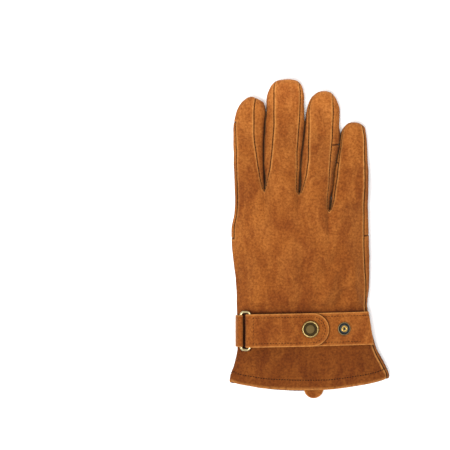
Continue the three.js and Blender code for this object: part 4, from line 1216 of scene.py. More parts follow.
class NodeSheet:
    """A short way of writing a material's node tree."""

    def __init__(self, name: str) -> None:
        """Starts a material with its surface shader.

        Args:
            name: the material's name.
        """
        self.material = bpy.data.materials.new(name)
        self.material.use_nodes = True
        self.tree = self.material.node_tree
        self.shader = self.tree.nodes["Principled BSDF"]
        self.place = self.node("TexCoord").outputs["Object"]

    def feed(self, value: Value, socket: Socket) -> None:
        """Gives a socket a number or a colour, or links another socket to it.

        Args:
            value: the number, colour or socket.
            socket: the socket that takes it.
        """
        if isinstance(value, float):
            socket.default_value = value
        elif isinstance(value, tuple):
            socket.default_value = (*value, 1.0)
        else:
            self.tree.links.new(value, socket)

    def node(self, kind: str, **inputs: Value) -> bpy.types.Node:
        """Adds a node and feeds its inputs, each named as in the node but in small letters.

        Args:
            kind: the node's kind.
            inputs: what each input is fed.

        Returns:
            The node.
        """
        node = self.tree.nodes.new("ShaderNode" + kind)
        for name, value in inputs.items():
            self.feed(value, node.inputs[name.replace("_", " ").title()])
        return node

    def put(self, name: str, value: Value) -> None:
        """Sets or links one of the surface shader's own sockets."""
        self.feed(value, self.shader.inputs[name])

    def noise(
        self, size_mm: float, detail: float = 3.0, rough: float = 0.55, twist: float = 0.0, drawn: float = 1.0
    ) -> Socket:
        """Noise whose lumps are about the given size, drawn out along the hand if wanted.

        Args:
            size_mm: the lumps' size.
            detail: how many finer layers it has.
            rough: how strong those are.
            twist: how twisted the lumps are.
            drawn: how many times longer than wide they are.

        Returns:
            The noise's value.
        """
        turn = self.node("Mapping", vector=self.place)
        turn.inputs["Scale"].default_value = (1.0, 1 / drawn, 1.0)
        placed, scale = turn.outputs["Vector"], 1 / (size_mm * MM)
        node = self.node(
            "TexNoise", vector=placed, scale=scale, detail=detail, roughness=rough, distortion=twist
        )
        return node.outputs["Fac"]

    def ramp(
        self, source: Socket, low: float, high: float, to_low: float = 0.0, to_high: float = 1.0
    ) -> Socket:
        """Stretches a value's range onto another, smoothly, and stops at its ends.

        Args:
            source: the value.
            low: where its range starts.
            high: where it ends.
            to_low: the new value at low.
            to_high: the new value at high.

        Returns:
            The new value.
        """
        node = self.node(
            "MapRange", value=source, from_min=low, from_max=high, to_min=to_low, to_max=to_high
        )
        node.interpolation_type = "SMOOTHSTEP"
        return node.outputs["Result"]

    def mark(self, name: str) -> Socket:
        """A value that the piece's own mesh carries.

        Args:
            name: the mark's name.

        Returns:
            The value.
        """
        node = self.node("Attribute")
        node.attribute_name = name
        return node.outputs["Fac"]

    def maths(self, kind: str, first: Socket, second: Value) -> Socket:
        """A sum, product or other working of two values.

        Args:
            kind: the working, in capitals.
            first: a socket.
            second: a socket or a number.

        Returns:
            The result.
        """
        node = self.node("Math")
        node.operation = kind
        self.feed(first, node.inputs[0])
        self.feed(second, node.inputs[1])
        return node.outputs[0]

    def mix(self, share: Value, first: Value, second: Value, kind: str = "MIX") -> Socket:
        """Mixes two colours.

        Args:
            share: how much of the second shows.
            first: a colour or a socket.
            second: a colour or a socket.
            kind: the kind of mixing.

        Returns:
            The mixed colour.
        """
        node = self.node("Mix")
        node.data_type = "RGBA"
        node.blend_type = kind
        node.clamp_factor = False
        for value, socket in ((share, node.inputs[0]), (first, node.inputs[6]), (second, node.inputs[7])):
            self.feed(value, socket)
        return node.outputs[2]

    def shade(self, colour: Socket, tone: Socket) -> Socket:
        """Lightens or darkens a colour by a factor, and turns it redder as it darkens.

        Args:
            colour: the colour.
            tone: the factor.

        Returns:
            The new colour.
        """
        parts = self.node("CombineColor")
        for power, socket in zip(TONE_POWERS, parts.inputs):
            self.feed(self.maths("POWER", tone, power), socket)
        return self.mix(1.0, colour, parts.outputs[0], "MULTIPLY")

    def bump(self, height: Socket, depth_mm: float, strength: float, under: Socket | None = None) -> Socket:
        """Raises the surface by a height, on top of another bump if one is given.

        Args:
            height: the height, from 0 to 1.
            depth_mm: its depth at 1.
            strength: how strongly it shows.
            under: the other bump.

        Returns:
            The bent surface direction.
        """
        node = self.node("Bump", strength=strength, distance=depth_mm * MM, height=height)
        if under is not None:
            self.feed(under, node.inputs["Normal"])
        return node.outputs["Normal"]


def from_screen(red: int, green: int, blue: int) -> Colour:
    """A linear colour from screen values between 0 and 255."""
    values = (part / 255 for part in (red, green, blue))
    return tuple(v / 12.92 if v <= 0.04 else ((v + 0.055) / 1.055) ** 2.4 for v in values)


@dataclass(frozen=True)
class SuedeFinish:
    """Suede: brushed patches, a grainy nap, rubbed light edges and a soft sheen."""

    name: str
    base: Colour
    dark: Colour
    light: Colour
    rubbed: Colour
    sheen: float = 0.16

    def material(self) -> Material:
        """Builds the finish's material.

        Returns:
            The material.
        """
        sheet = NodeSheet(self.name)
        patches = sheet.ramp(sheet.noise(26, 4.0, 0.6, 0.5), 0.3, 0.7)
        brushed = sheet.ramp(sheet.noise(10, 5.0, 0.62, 0.6, 2.6), 0.38, 0.68)
        nap = sheet.noise(1.7, 4.0, 0.75)
        colour = sheet.mix(patches, self.dark, self.base)
        colour = sheet.mix(sheet.maths("MULTIPLY", brushed, 0.6), colour, self.light)
        colour = sheet.shade(colour, sheet.ramp(nap, 0.28, 0.72, 0.66, 1.34))
        patchy = sheet.ramp(sheet.noise(3, 2.0), 0.25, 0.6, 0.35, 0.9)
        worn = sheet.maths("MULTIPLY", sheet.mark("wear"), patchy)
        # The tone mark carries painted shade: in the seams, between the fingers, above the strap, in its ring
        # and beside the tongue's end
        colour = sheet.mix(worn, sheet.shade(colour, sheet.mark("tone")), self.rubbed)
        sheet.put("Base Color", colour)
        height = sheet.bump(sheet.noise(2.2, 3.0, 0.6), 0.25, 0.5)
        sheet.put("Normal", sheet.bump(sheet.noise(0.35, 2.0, 0.6), 0.12, 0.5, height))
        sheet.put("Roughness", 0.95)
        sheet.put("Specular IOR Level", 0.15)
        sheet.put("Sheen Weight", self.sheen)
        sheet.put("Sheen Roughness", 0.45)
        sheet.put("Sheen Tint", (1.0, 0.5, 0.18))
        return sheet.material


@dataclass(frozen=True)
class ThreadFinish:
    """Waxed sewing thread with a fine twist."""

    name: str
    base: Colour
    dark: Colour

    def material(self) -> Material:
        """Builds the finish's material.

        Returns:
            The material.
        """
        sheet = NodeSheet(self.name)
        twist = sheet.noise(0.5, 2.0, 0.6)
        sheet.put("Base Color", sheet.mix(sheet.ramp(twist, 0.35, 0.65), self.dark, self.base))
        sheet.put("Normal", sheet.bump(twist, 0.1, 0.5))
        sheet.put("Roughness", 0.8)
        sheet.put("Specular IOR Level", 0.1)
        return sheet.material


@dataclass(frozen=True)
class BrassFinish:
    """Worn brass: bright where it is rubbed and dark where patina has stayed."""

    name: str
    bright: Colour
    patina: Colour
    roughness: float

    def material(self) -> Material:
        """Builds the finish's material.

        Returns:
            The material.
        """
        sheet = NodeSheet(self.name)
        spots = sheet.ramp(sheet.noise(1.6, 4.0, 0.65), 0.35, 0.75, 0.0, 0.45)
        dark = sheet.maths("MAXIMUM", sheet.mark("patina"), spots)
        sheet.put("Base Color", sheet.mix(dark, self.bright, self.patina))
        sheet.put("Roughness", sheet.ramp(dark, 0.0, 1.0, self.roughness, self.roughness + 0.3))
        sheet.put("Normal", sheet.bump(sheet.noise(0.6, 3.0), 0.05, 0.4))
        sheet.put("Metallic", 1.0)
        return sheet.material


SUEDE = SuedeFinish(
    "tan suede",
    from_screen(130, 71, 23), from_screen(112, 56, 16), from_screen(152, 91, 37), from_screen(206, 140, 72),
)
PALM_SUEDE = SuedeFinish(
    "darker tan suede",
    from_screen(122, 65, 21), from_screen(106, 52, 15), from_screen(142, 84, 34), from_screen(184, 120, 58),
)
THREAD = ThreadFinish("brown thread", from_screen(44, 20, 8), from_screen(26, 12, 5))
PALE_BRASS = BrassFinish("pale brass", from_screen(214, 198, 150), from_screen(104, 88, 50), 0.28)
ANTIQUE_BRASS = BrassFinish("antique brass", from_screen(158, 134, 84), from_screen(54, 42, 24), 0.38)
DARK_BRASS = BrassFinish("dark brass", from_screen(196, 160, 86), from_screen(50, 58, 64), 0.34)


def edge_fall(distance: Array, width: float, depth: float) -> Array:
    """How far a rounded edge has dropped at a distance from the edge itself."""
    share = 1 - np.clip(distance / width, 0, 1)
    return depth * (1 - np.sqrt(1 - share * share))


def distance_to(points: Array, starts: Array, ends: Array) -> Array:
    """Each point's distance to the nearest of many short edges.

    Args:
        points: the points.
        starts: where each edge starts.
        ends: where it ends.

    Returns:
        The distances, or large ones where there are no edges.
    """
    if not len(starts):
        return np.full(len(points), 1e3)
    samples = np.concatenate([lerp(starts, ends, share) for share in (0.0, 0.2, 0.4, 0.6, 0.8)])
    tree = KDTree(len(samples))
    for i, sample in enumerate(samples):
        tree.insert(sample, i)
    tree.balance()
    return np.array([tree.find(point)[2] for point in points])


def face_edges(faces: Array) -> tuple[Array, Array]:
    """The points where the edges of four-cornered faces start, and those where they end."""
    return faces.T.reshape(-1), np.roll(faces, -1, axis=1).T.reshape(-1)


@dataclass
class Leather:
    """The panels of the glove, cut from one net, each with rounded edges and a wall."""

    shop: Workshop
    net: Net
    suede: Material
    palm_suede: Material
    seam_gap: float = 0.26
    seam_rounding: float = 1.2
    seam_drop: float = 0.8
    cross_seam_share: float = 0.4
    cross_seams_above: float = -50.0
    puff: float = 0.16
    puff_from_seam: float = 2.6
    puff_width: float = 1.2
    hem_rounding: float = 1.0
    hem_drop: float = 0.5
    hem_inner_rounding: float = 1.2
    hem_inner_drop: float = 0.7
    hem_extra: float = 0.9
    hem_step: Row = (-0.6, 0.8)
    dent: float = 0.22
    dent_width: float = 0.7
    rub: float = 0.55
    rub_from_seam: float = 1.0
    rub_width: float = 0.6
    hem_rub: float = 0.6
    hem_rub_width: float = 1.3
    sheltered_rub: float = 0.35
    # Painted shade in the crease of each seam, darker and wider along the right side where it folds
    painted_seam_shade: float = 0.62
    painted_seam_shade_width: float = 0.42
    outer_rub: float = 0.4
    painted_side_seam_shade: float = 0.15
    outer_widening: float = 0.6
    outer_side_from: Row = (20.0, 42.0)
    outer_side_top: Row = (88.0, 100.0)
    # Painted shade deep in the gaps between the fingers
    painted_gap_shade: float = 0.95
    inner_shade: float = 0.08
    # Painted shadow on the back just above the strap, and painted shade inside the ring
    painted_strap_shadow: float = 0.8
    painted_strap_shadow_reach: float = 3.2
    strap_overlap: float = 6.0
    painted_ring_shade: float = 0.85
    ring_ends: Spans = ((-55.0, -54.0), (-47.0, -46.0))
    ring_half_length: float = 16.0
    back_above: float = 8.0

    def __post_init__(self) -> None:
        """Works out what all the panels share."""
        self.normals = self.net.normals()
        self.count = len(self.net.points)
        starts, ends = face_edges(self.net.faces)
        self.directed = np.unique((starts * self.count + ends)[starts != ends])

    def build(self) -> None:
        """Makes every panel."""
        for panel in Panel:
            on_palm = panel in (Panel.PALM, Panel.HEEL)
            material, slot = (self.palm_suede, "dark_suede") if on_palm else (self.suede, "suede")
            self.shop.finish(self._cut(panel), material, slot, panel.value)

    def tone(self, points: Array) -> Array:
        """How light the leather is: darker towards the cuff, lighter towards the fingertips, with painted
        shade above the strap and in its ring.
        """
        along = np.interp(points[:, 1], TONE_PLACES, TONE_VALUES)
        return along * (1 + DYE_PATCHES.rise(points)) * (1 - self._painted_strap_shade(points))

    def _painted_strap_shade(self, points: Array) -> Array:
        """Painted shadow on the back just above the strap, and painted shade inside its ring.

        Args:
            points: points of the leather.

        Returns:
            How much of its light each point loses.
        """
        x, y, z = points.T
        past = y - (STRAP_MIDDLE_Y + STRAP_TILT * x + STRAP_WIDTH / 2)
        line = self.painted_strap_shadow * np.exp(-np.maximum(0, past) / self.painted_strap_shadow_reach)
        line *= (past > -self.strap_overlap) & (x > RING_X)
        in_ring = window(x, *self.ring_ends) * (np.abs(past + STRAP_WIDTH / 2) < self.ring_half_length)
        return np.where(z > self.back_above, np.maximum(line, self.painted_ring_shade * in_ring), 0)

    def _cut(self, panel: Panel) -> Piece:
        """Makes one panel: its outer face, its inner face and the edge between them.

        Args:
            panel: which panel.

        Returns:
            The panel's piece.
        """
        faces = self.net.faces[self.net.panels == number(panel)]
        used, local = np.unique(faces, return_inverse=True)
        local = local.reshape(faces.shape)
        starts, ends, owner = self._rim(faces)
        sewn = np.isin(ends * self.count + starts, self.directed)
        points, normals, corner = self.net.points[used], self.normals[used], self.net.points
        run = np.abs(corner[ends] - corner[starts])
        across = sewn & (run[:, 1] < np.linalg.norm(run, axis=1) / 2)
        across &= corner[starts][:, 1] > self.cross_seams_above
        to_long, to_cross, to_hem = (
            distance_to(points, corner[starts[those]], corner[ends[those]])
            for those in (sewn & ~across, across, ~sewn)
        )
        to_seam = np.minimum(to_long, to_cross)
        stood_back = self._stand_back(corner[faces[owner[sewn]]], starts[sewn], ends[sewn])
        base = points + stood_back[used]

        fall = edge_fall(to_long, self.seam_rounding, self.seam_drop)
        fall -= self.puff * bump(to_seam - self.puff_from_seam, self.puff_width)
        cross_fall = edge_fall(to_cross, self.seam_rounding, self.seam_drop * self.cross_seam_share)
        fall = np.maximum(fall, cross_fall) + edge_fall(to_hem, self.hem_rounding, self.hem_drop)
        fall += self.dent * bump(to_hem - HEM_ALLOWANCE, self.dent_width)
        turned_in = 1 - smoothstep(to_hem - HEM_ALLOWANCE, *self.hem_step)
        depth = WALL + self.hem_extra * turned_in
        depth -= edge_fall(to_hem, self.hem_inner_rounding, self.hem_inner_drop)

        skins = [list(dict.fromkeys(map(int, f))) for f in local]
        inside = [[v + len(used) for v in reversed(f)] for f in skins]
        place = np.full(self.count, -1)
        place[used] = np.arange(len(used))
        a, b = place[starts], place[ends]
        rims = np.stack([b, a, a + len(used), b + len(used)], axis=1).tolist()
        both = np.concatenate([base - normals * fall[:, None], base - normals * depth[:, None]])
        marks = self._marks(panel, used, to_seam, to_hem)
        return self.shop.mesh_object(panel.value + "_suede", both, skins + inside + rims, marks)

    def _rim(self, faces: Array) -> tuple[Array, Array, Array]:
        """The edges round one panel.

        Args:
            faces: the panel's faces.

        Returns:
            The point where each edge starts, the one where it ends, and its face's place in the panel.
        """
        starts, ends = face_edges(faces)
        alone = ~np.isin(ends * self.count + starts, starts * self.count + ends) & (starts != ends)
        return starts[alone], ends[alone], np.tile(np.arange(len(faces)), 4)[alone]

    def _stand_back(self, quads: Array, starts: Array, ends: Array) -> Array:
        """How far points stand back from the seams that they lie on.

        Args:
            quads: the corners of the face at each sewn edge.
            starts: the point where each sewn edge starts.
            ends: the point where it ends.

        Returns:
            A step for each point of the net.
        """
        facing = np.cross(quads[:, 2] - quads[:, 0], quads[:, 3] - quads[:, 1])
        inward = np.cross(facing, self.net.points[ends] - self.net.points[starts])
        inward /= np.maximum(1e-9, np.linalg.norm(inward, axis=1, keepdims=True))
        total = np.zeros_like(self.net.points)
        for ids in (starts, ends):
            np.add.at(total, ids, inward)
        size = np.linalg.norm(total, axis=1, keepdims=True)
        return np.where(size > 1e-6, total / np.maximum(size, 1e-6), 0) * self.seam_gap / 2

    def _marks(self, panel: Panel, used: Array, to_seam: Array, to_hem: Array) -> dict[str, Array]:
        """How rubbed and how light a panel is, with painted shade in its seams and deep between the fingers.

        Args:
            panel: which panel.
            used: its points in the net.
            to_seam: their distance to the nearest seam.
            to_hem: their distance to the hem.

        Returns:
            The marks of wear and tone for the outer face's points, then the inner face's.
        """
        points = self.net.points[used]
        outer = smoothstep(points[:, 0], *self.outer_side_from)
        outer *= 1 - smoothstep(points[:, 1], *self.outer_side_top)
        wear = (self.rub + self.outer_rub * outer) * bump(to_seam - self.rub_from_seam, self.rub_width)
        wear = np.maximum(wear, self.hem_rub * bump(to_hem, self.hem_rub_width))
        wear *= 1.0 if panel is Panel.BACK else self.sheltered_rub
        # Painted shade along the seams' creases
        width = self.painted_seam_shade_width * (1 + self.outer_widening * outer)
        seam = (self.painted_seam_shade + self.painted_side_seam_shade * outer) * bump(to_seam, width)
        # The tone carries the painted shade of the seams and of the gaps between the fingers
        tone = self.tone(points) * (1 - seam) * (1 - self.painted_gap_shade * self.net.depth[used])
        return {
            "wear": np.concatenate([wear, np.zeros(len(used))]),
            "tone": np.concatenate([tone, tone * (1 - self.inner_shade)]),
        }


@dataclass
class StitchTree:
    """The node tree that sews a row of stitches along each line of an object."""

    thread: Material
    segments: int = 6
    rings: int = 4

    def __post_init__(self) -> None:
        """Builds the tree, with named inputs for the sizes of its stitches."""
        tree = bpy.data.node_groups.new("row of stitches", "GeometryNodeTree")
        face = tree.interface
        face.new_socket("Geometry", in_out="INPUT", socket_type="NodeSocketGeometry")
        self.inputs = [
            face.new_socket(name, in_out="INPUT", socket_type="NodeSocketFloat").identifier
            for name in ("Pitch", "Stitch Length", "Thread Width")
        ]
        face.new_socket("Geometry", in_out="OUTPUT", socket_type="NodeSocketGeometry")
        enter, to_curve, to_points, bead, sizes, turn, place, realize, paint, leave = (
            tree.nodes.new(kind) for kind in (
                "NodeGroupInput", "GeometryNodeMeshToCurve", "GeometryNodeCurveToPoints",
                "GeometryNodeMeshUVSphere", "ShaderNodeCombineXYZ", "FunctionNodeAlignRotationToVector",
                "GeometryNodeInstanceOnPoints", "GeometryNodeRealizeInstances", "GeometryNodeSetMaterial",
                "NodeGroupOutput",
            )
        )
        to_points.mode = "LENGTH"
        turn.axis = "Z"
        bead.inputs["Segments"].default_value = self.segments
        bead.inputs["Rings"].default_value = self.rings
        bead.inputs["Radius"].default_value = 0.5
        paint.inputs["Material"].default_value = self.thread
        for source, way_out, target, way_in in (
            (enter, "Geometry", to_curve, "Mesh"),
            (to_curve, "Curve", to_points, "Curve"),
            (enter, "Pitch", to_points, "Length"),
            (to_points, "Points", place, "Points"),
            (to_points, "Tangent", turn, "Vector"),
            (turn, "Rotation", place, "Rotation"),
            (bead, "Mesh", place, "Instance"),
            (enter, "Thread Width", sizes, "X"),
            (enter, "Thread Width", sizes, "Y"),
            (enter, "Stitch Length", sizes, "Z"),
            (sizes, "Vector", place, "Scale"),
            (place, "Instances", realize, "Geometry"),
            (realize, "Geometry", paint, "Geometry"),
            (paint, "Geometry", leave, "Geometry"),
        ):
            tree.links.new(source.outputs[way_out], target.inputs[way_in])
        self.tree = tree

    def sew(self, shop: Workshop, name: str, lines: Sequence[Array], sizes: Row) -> None:
        """Sews stitches along lines and keeps them as one plain mesh.

        Args:
            shop: makes and finishes the piece.
            name: the piece's name.
            lines: lines of points in the pattern's frame.
            sizes: distance from one stitch to the next, a stitch's length and its thread's width.
        """
        guide = shop.line_object(name + "_line", lines)
        modifier = guide.modifiers.new("stitches", "NODES")
        modifier.node_group = self.tree
        for key, size in zip(self.inputs, sizes):
            modifier[key] = size * MM
        graph = bpy.context.evaluated_depsgraph_get()
        mesh = bpy.data.meshes.new_from_object(guide.evaluated_get(graph))
        mesh.name = name
        mesh.polygons.foreach_set("use_smooth", [True] * len(mesh.polygons))
        piece = stand(name, mesh)
        bpy.data.objects.remove(guide)
        shop.finish(piece, self.thread, "suede")


SHEET_EDGE_DROP = 0.38
SHEET_RUB = 0.6
SHEET_RUB_REACH = 1.1


def sheet_mesh(
    middle: Array,
    facing: Array,
    to_edge: Array,
    thickness: float,
    rounding: float,
    dent: Array | float = 0.0,
    lightness: float = 0.77,
) -> tuple[Array, list[list[int]], dict[str, Array]]:
    """A closed sheet with rounded edges about a grid of points.

    Args:
        middle: the grid of points halfway through the sheet.
        facing: the outward direction at each, or of each row or the whole.
        to_edge: each point's distance to the sheet's edge.
        thickness: the sheet's thickness.
        rounding: how far in the edge's rounding reaches.
        dent: how far both faces are pressed in at each point.
        lightness: the leather's lightness beside its finish.

    Returns:
        The points, the faces and the marks of wear and tone.
    """
    rows, columns = to_edge.shape
    facing = np.broadcast_to(facing, middle.shape)
    half = thickness / 2 - edge_fall(to_edge, rounding, thickness * SHEET_EDGE_DROP) - dent
    upper = middle + facing * half[..., None]
    lower = middle - facing * half[..., None]
    points = np.concatenate([upper.reshape(-1, 3), lower.reshape(-1, 3)])
    ids = np.arange(rows * columns).reshape(rows, columns)
    quads = np.stack([ids[:-1, :-1], ids[1:, :-1], ids[1:, 1:], ids[:-1, 1:]], axis=-1).reshape(-1, 4)
    rim = np.concatenate([ids[0, :-1], ids[:-1, -1], ids[-1, :0:-1], ids[:0:-1, 0]])
    ahead = np.roll(rim, -1)
    below = rows * columns
    sides = np.stack([rim, ahead, ahead + below, rim + below], axis=1)
    faces = quads.tolist() + (quads[:, ::-1] + below).tolist() + sides.tolist()
    a, b, c = (points[quads[len(quads) // 2, k]] for k in range(3))
    if np.dot(np.cross(b - a, c - a), facing[rows // 2, columns // 2]) < 0:
        faces = [face[::-1] for face in faces]
    wear = SHEET_RUB * bump(to_edge.reshape(-1), rounding * SHEET_RUB_REACH)
    tone = lightness * (1 + SHEET_DYE_PATCHES.rise(points))
    return points, faces, {"wear": np.concatenate([wear, wear]), "tone": tone}


def path_frame(x: Array, z: Array) -> tuple[Array, Array]:
    """The length along a path in the xz plane, and the direction that faces out from it.

    Args:
        x: the path's places along x.
        z: its heights.

    Returns:
        The length up to each place, and the outward direction there.
    """
    along = np.stack([np.gradient(x), np.gradient(z)], axis=-1)
    along /= np.linalg.norm(along, axis=1, keepdims=True)
    length = np.concatenate([[0], np.cumsum(np.hypot(np.diff(x), np.diff(z)))])
    return length, np.stack([-along[:, 1], np.zeros(len(x)), along[:, 0]], axis=-1)


def tilted(points: Array, angle: float) -> Array:
    """Points turned about the Y axis, so that their right side rises by the angle."""
    x, y, z = points[..., 0], points[..., 1], points[..., 2]
    return stack(x * math.cos(angle) - z * math.sin(angle), y, x * math.sin(angle) + z * math.cos(angle))


@dataclass
class WristStrap:
    """A band sewn in at the little-finger side, led through the ring and snapped to itself."""

    shop: Workshop
    leather: Material
    stitches: StitchTree
    width: float = STRAP_WIDTH
    thickness: float = 1.8
    middle_y: float = STRAP_MIDDLE_Y
    tilt: float = STRAP_TILT
    right_x: float = 49.8
    tongue_end_x: float = 15.8
    end_slant: float = 0.15
    slant_reach: float = 11.4
    lift: float = 0.6
    split: float = 0.6
    fold_x: float = RING_X
    ring_wire: float = 2.0
    stitch_inset: float = 3.0
    stitch_sunk: float = 0.1
    second_row: float = 1.7
    stitch_sizes: Row = (2.3, 1.7, 0.5)
    dent: float = 0.14
    dent_width: float = 0.7
    edge_rounding: float = 0.8
    step: float = 0.9
    near_ring: Row = (6.0, 24.0)
    wire_clearance: float = 0.2
    beyond_tongue: float = 0.2
    # Painted shadow that the tongue's round end casts on the under layer
    painted_end_shadow: float = 0.6
    painted_end_shadow_width: float = 1.1
    columns: int = 32

    def y_at(self, x: Array) -> Array:
        """The middle of the strap's width."""
        return self.middle_y + self.tilt * x

    def back_under(self, x: Array, half: float) -> Array:
        """The highest point of the glove's back under the strap, so that it clears it all across."""
        places = [self.y_at(x) + lerp(-half, half, i / 6) for i in range(7)]
        return np.max([HAND.top(x, y) for y in places], axis=0)

    def lower_height(self, x: Array) -> Array:
        """Height of the middle of the under layer."""
        return self.back_under(x, self.width / 2) + self.lift + self.thickness / 2

    def tongue_rise(self, x: Array) -> Array:
        """How far the tongue lies over the under layer."""
        near_ring = 1 - smoothstep(x - self.fold_x, *self.near_ring)
        return self.thickness + self.split + near_ring * (self.ring_wire + self.wire_clearance)

    def tongue_height(self, x: Array) -> Array:
        """Height of the middle of the tongue."""
        return self.lower_height(x) + self.tongue_rise(x)

    @property
    def bend_x(self) -> float:
        """Where the strap starts to bend round the ring's bar."""
        return self.fold_x + self.thickness / 2 + self.tongue_rise(self.fold_x) / 2

    @property
    def round_x(self) -> float:
        """Where the tongue's round end starts."""
        return self.tongue_end_x - self.width / 2

    def build(self) -> None:
        """Makes the strap and its stitching."""
        half, fold_x, round_x = self.width / 2, self.bend_x, self.round_x
        rise, low = self.tongue_rise(fold_x), self.lower_height(fold_x)
        under_x = np.arange(self.right_x, fold_x + 0.4, -self.step)
        turn = np.radians(np.arange(0, 181, 10))
        over_x = np.arange(fold_x + self.step, round_x, self.step)
        over_x = np.concatenate([over_x, round_x + half * np.sin(END_ANGLES)])
        x = np.concatenate([under_x, fold_x - rise / 2 * np.sin(turn), over_x])
        fold_z = low + rise / 2 * (1 - np.cos(turn))
        z = np.concatenate([self.lower_height(under_x), fold_z, self.tongue_height(over_x)])
        halves = np.full(len(x), half)
        halves[-len(END_ANGLES):] = half * np.cos(END_ANGLES)
        length, facing = path_frame(x, z)
        facing = facing[:, None, :]
        across = crowded(self.columns) * 2 - 1
        y = self.y_at(x)[:, None] + across * halves[:, None]
        slant = np.zeros(len(x))
        slant[:len(under_x)] = self.end_slant * np.maximum(0, 1 - (self.right_x - under_x) / self.slant_reach)
        slanted_x = x[:, None] - slant[:, None] * across * half
        middle = stack(slanted_x, y, z[:, None])
        wave = STRAP_WAVE.rise(middle.reshape(-1, 3)).reshape(y.shape)
        middle = middle + facing * wave[..., None]
        to_edge = np.minimum((1 - np.abs(across)) * halves[:, None], length[:, None])
        out = np.hypot(np.maximum(0, x - round_x)[:, None], y - self.y_at(x)[:, None])
        is_tongue = (np.arange(len(x)) > len(x) - len(over_x) - 1)[:, None] & (x > round_x)[:, None]
        to_edge = np.where(is_tongue, np.minimum(to_edge, half - out), to_edge)
        to_edge = np.maximum(to_edge, 0)
        dent = self.dent * bump(to_edge - self.stitch_inset, self.dent_width)
        points, faces, marks = sheet_mesh(middle, facing, to_edge, self.thickness, self.edge_rounding, dent)
        paler = smoothstep(points[:, 0], self.tongue_end_x - 4, self.right_x)
        marks["tone"] *= 1 + self.beyond_tongue * paler
        # Painted shadow beside the tongue's round end
        marks["tone"] *= 1 - self._painted_tongue_shadow(points)
        piece = self.shop.mesh_object("wrist_strap_suede", points, faces, marks)
        self.shop.finish(piece, self.leather, "suede", "wrist_strap")
        self._stitch()

    def _painted_tongue_shadow(self, points: Array) -> Array:
        """Painted shadow of the tongue's round end on the under layer beside it.

        Args:
            points: points of the strap.

        Returns:
            How much of its light each point loses.
        """
        x, y, z = points.T
        out = np.hypot(np.maximum(0, x - self.round_x), y - self.y_at(x)) - self.width / 2
        under = (x > self.round_x) & (z < self.lower_height(x) + self.thickness / 2 + 0.2)
        return under * self.painted_end_shadow * bump(np.maximum(0, out), self.painted_end_shadow_width)

    def _stitch(self) -> None:
        """Sews round the tongue, across its fold, twice round its tip, and along the under layer."""
        half, fold_x, round_x = self.width / 2, self.bend_x, self.round_x

        def on_tongue(x: Array, away: Array) -> Array:
            """Points on the tongue at distances from its middle line."""
            z = self.tongue_height(x) + self.thickness / 2 - self.stitch_sunk
            return stack(x, self.y_at(x) + away, z)

        lines = []
        second_inset = self.stitch_inset + self.second_row
        for inset, start in ((self.stitch_inset, fold_x + 3), (second_inset, round_x + 5)):
            reach = half - inset
            straight = np.arange(start, round_x, 1.0)
            angle = np.radians(np.linspace(-90, 90, 40))
            if start > round_x:
                angle = angle[reach * np.cos(angle) > start - round_x]
            lower = on_tongue(straight, np.full(len(straight), -reach))
            tip = on_tongue(round_x + reach * np.cos(angle), reach * np.sin(angle))
            upper = on_tongue(straight[::-1], np.full(len(straight), reach))
            lines.append(np.concatenate([lower, tip, upper]))
        across = np.linspace(-(half - self.stitch_inset), half - self.stitch_inset, 20)
        lines.append(on_tongue(np.full(20, fold_x + 3.0), across))
        under = np.arange(round_x + 4, self.right_x - 1.5, 1.0)
        for sign in (-1, 1):
            y = self.y_at(under) + sign * (half - self.stitch_inset)
            lines.append(stack(under, y, self.lower_height(under) + self.thickness / 2 - self.stitch_sunk))
        self.stitches.sew(self.shop, "strap_stitches", lines, self.stitch_sizes)

    def seat(self, points: Array, x: float, y: float, height: Callable[[Array], Array]) -> Array:
        """Sets a round piece's points on the slope of one of the strap's layers.

        Args:
            points: the piece's points about its own foot.
            x: where the piece stands.
            y: where the piece stands.
            height: the height of the middle of the layer at an x.

        Returns:
            The points in the pattern's frame.
        """
        slope = math.atan((height(x + 1) - height(x - 1)) / 2)
        lift = self.thickness / 2 + SNAP_GAP
        foot = np.array([x - lift * math.sin(slope), y, height(x) + lift * math.cos(slope)])
        return tilted(points, slope) + foot


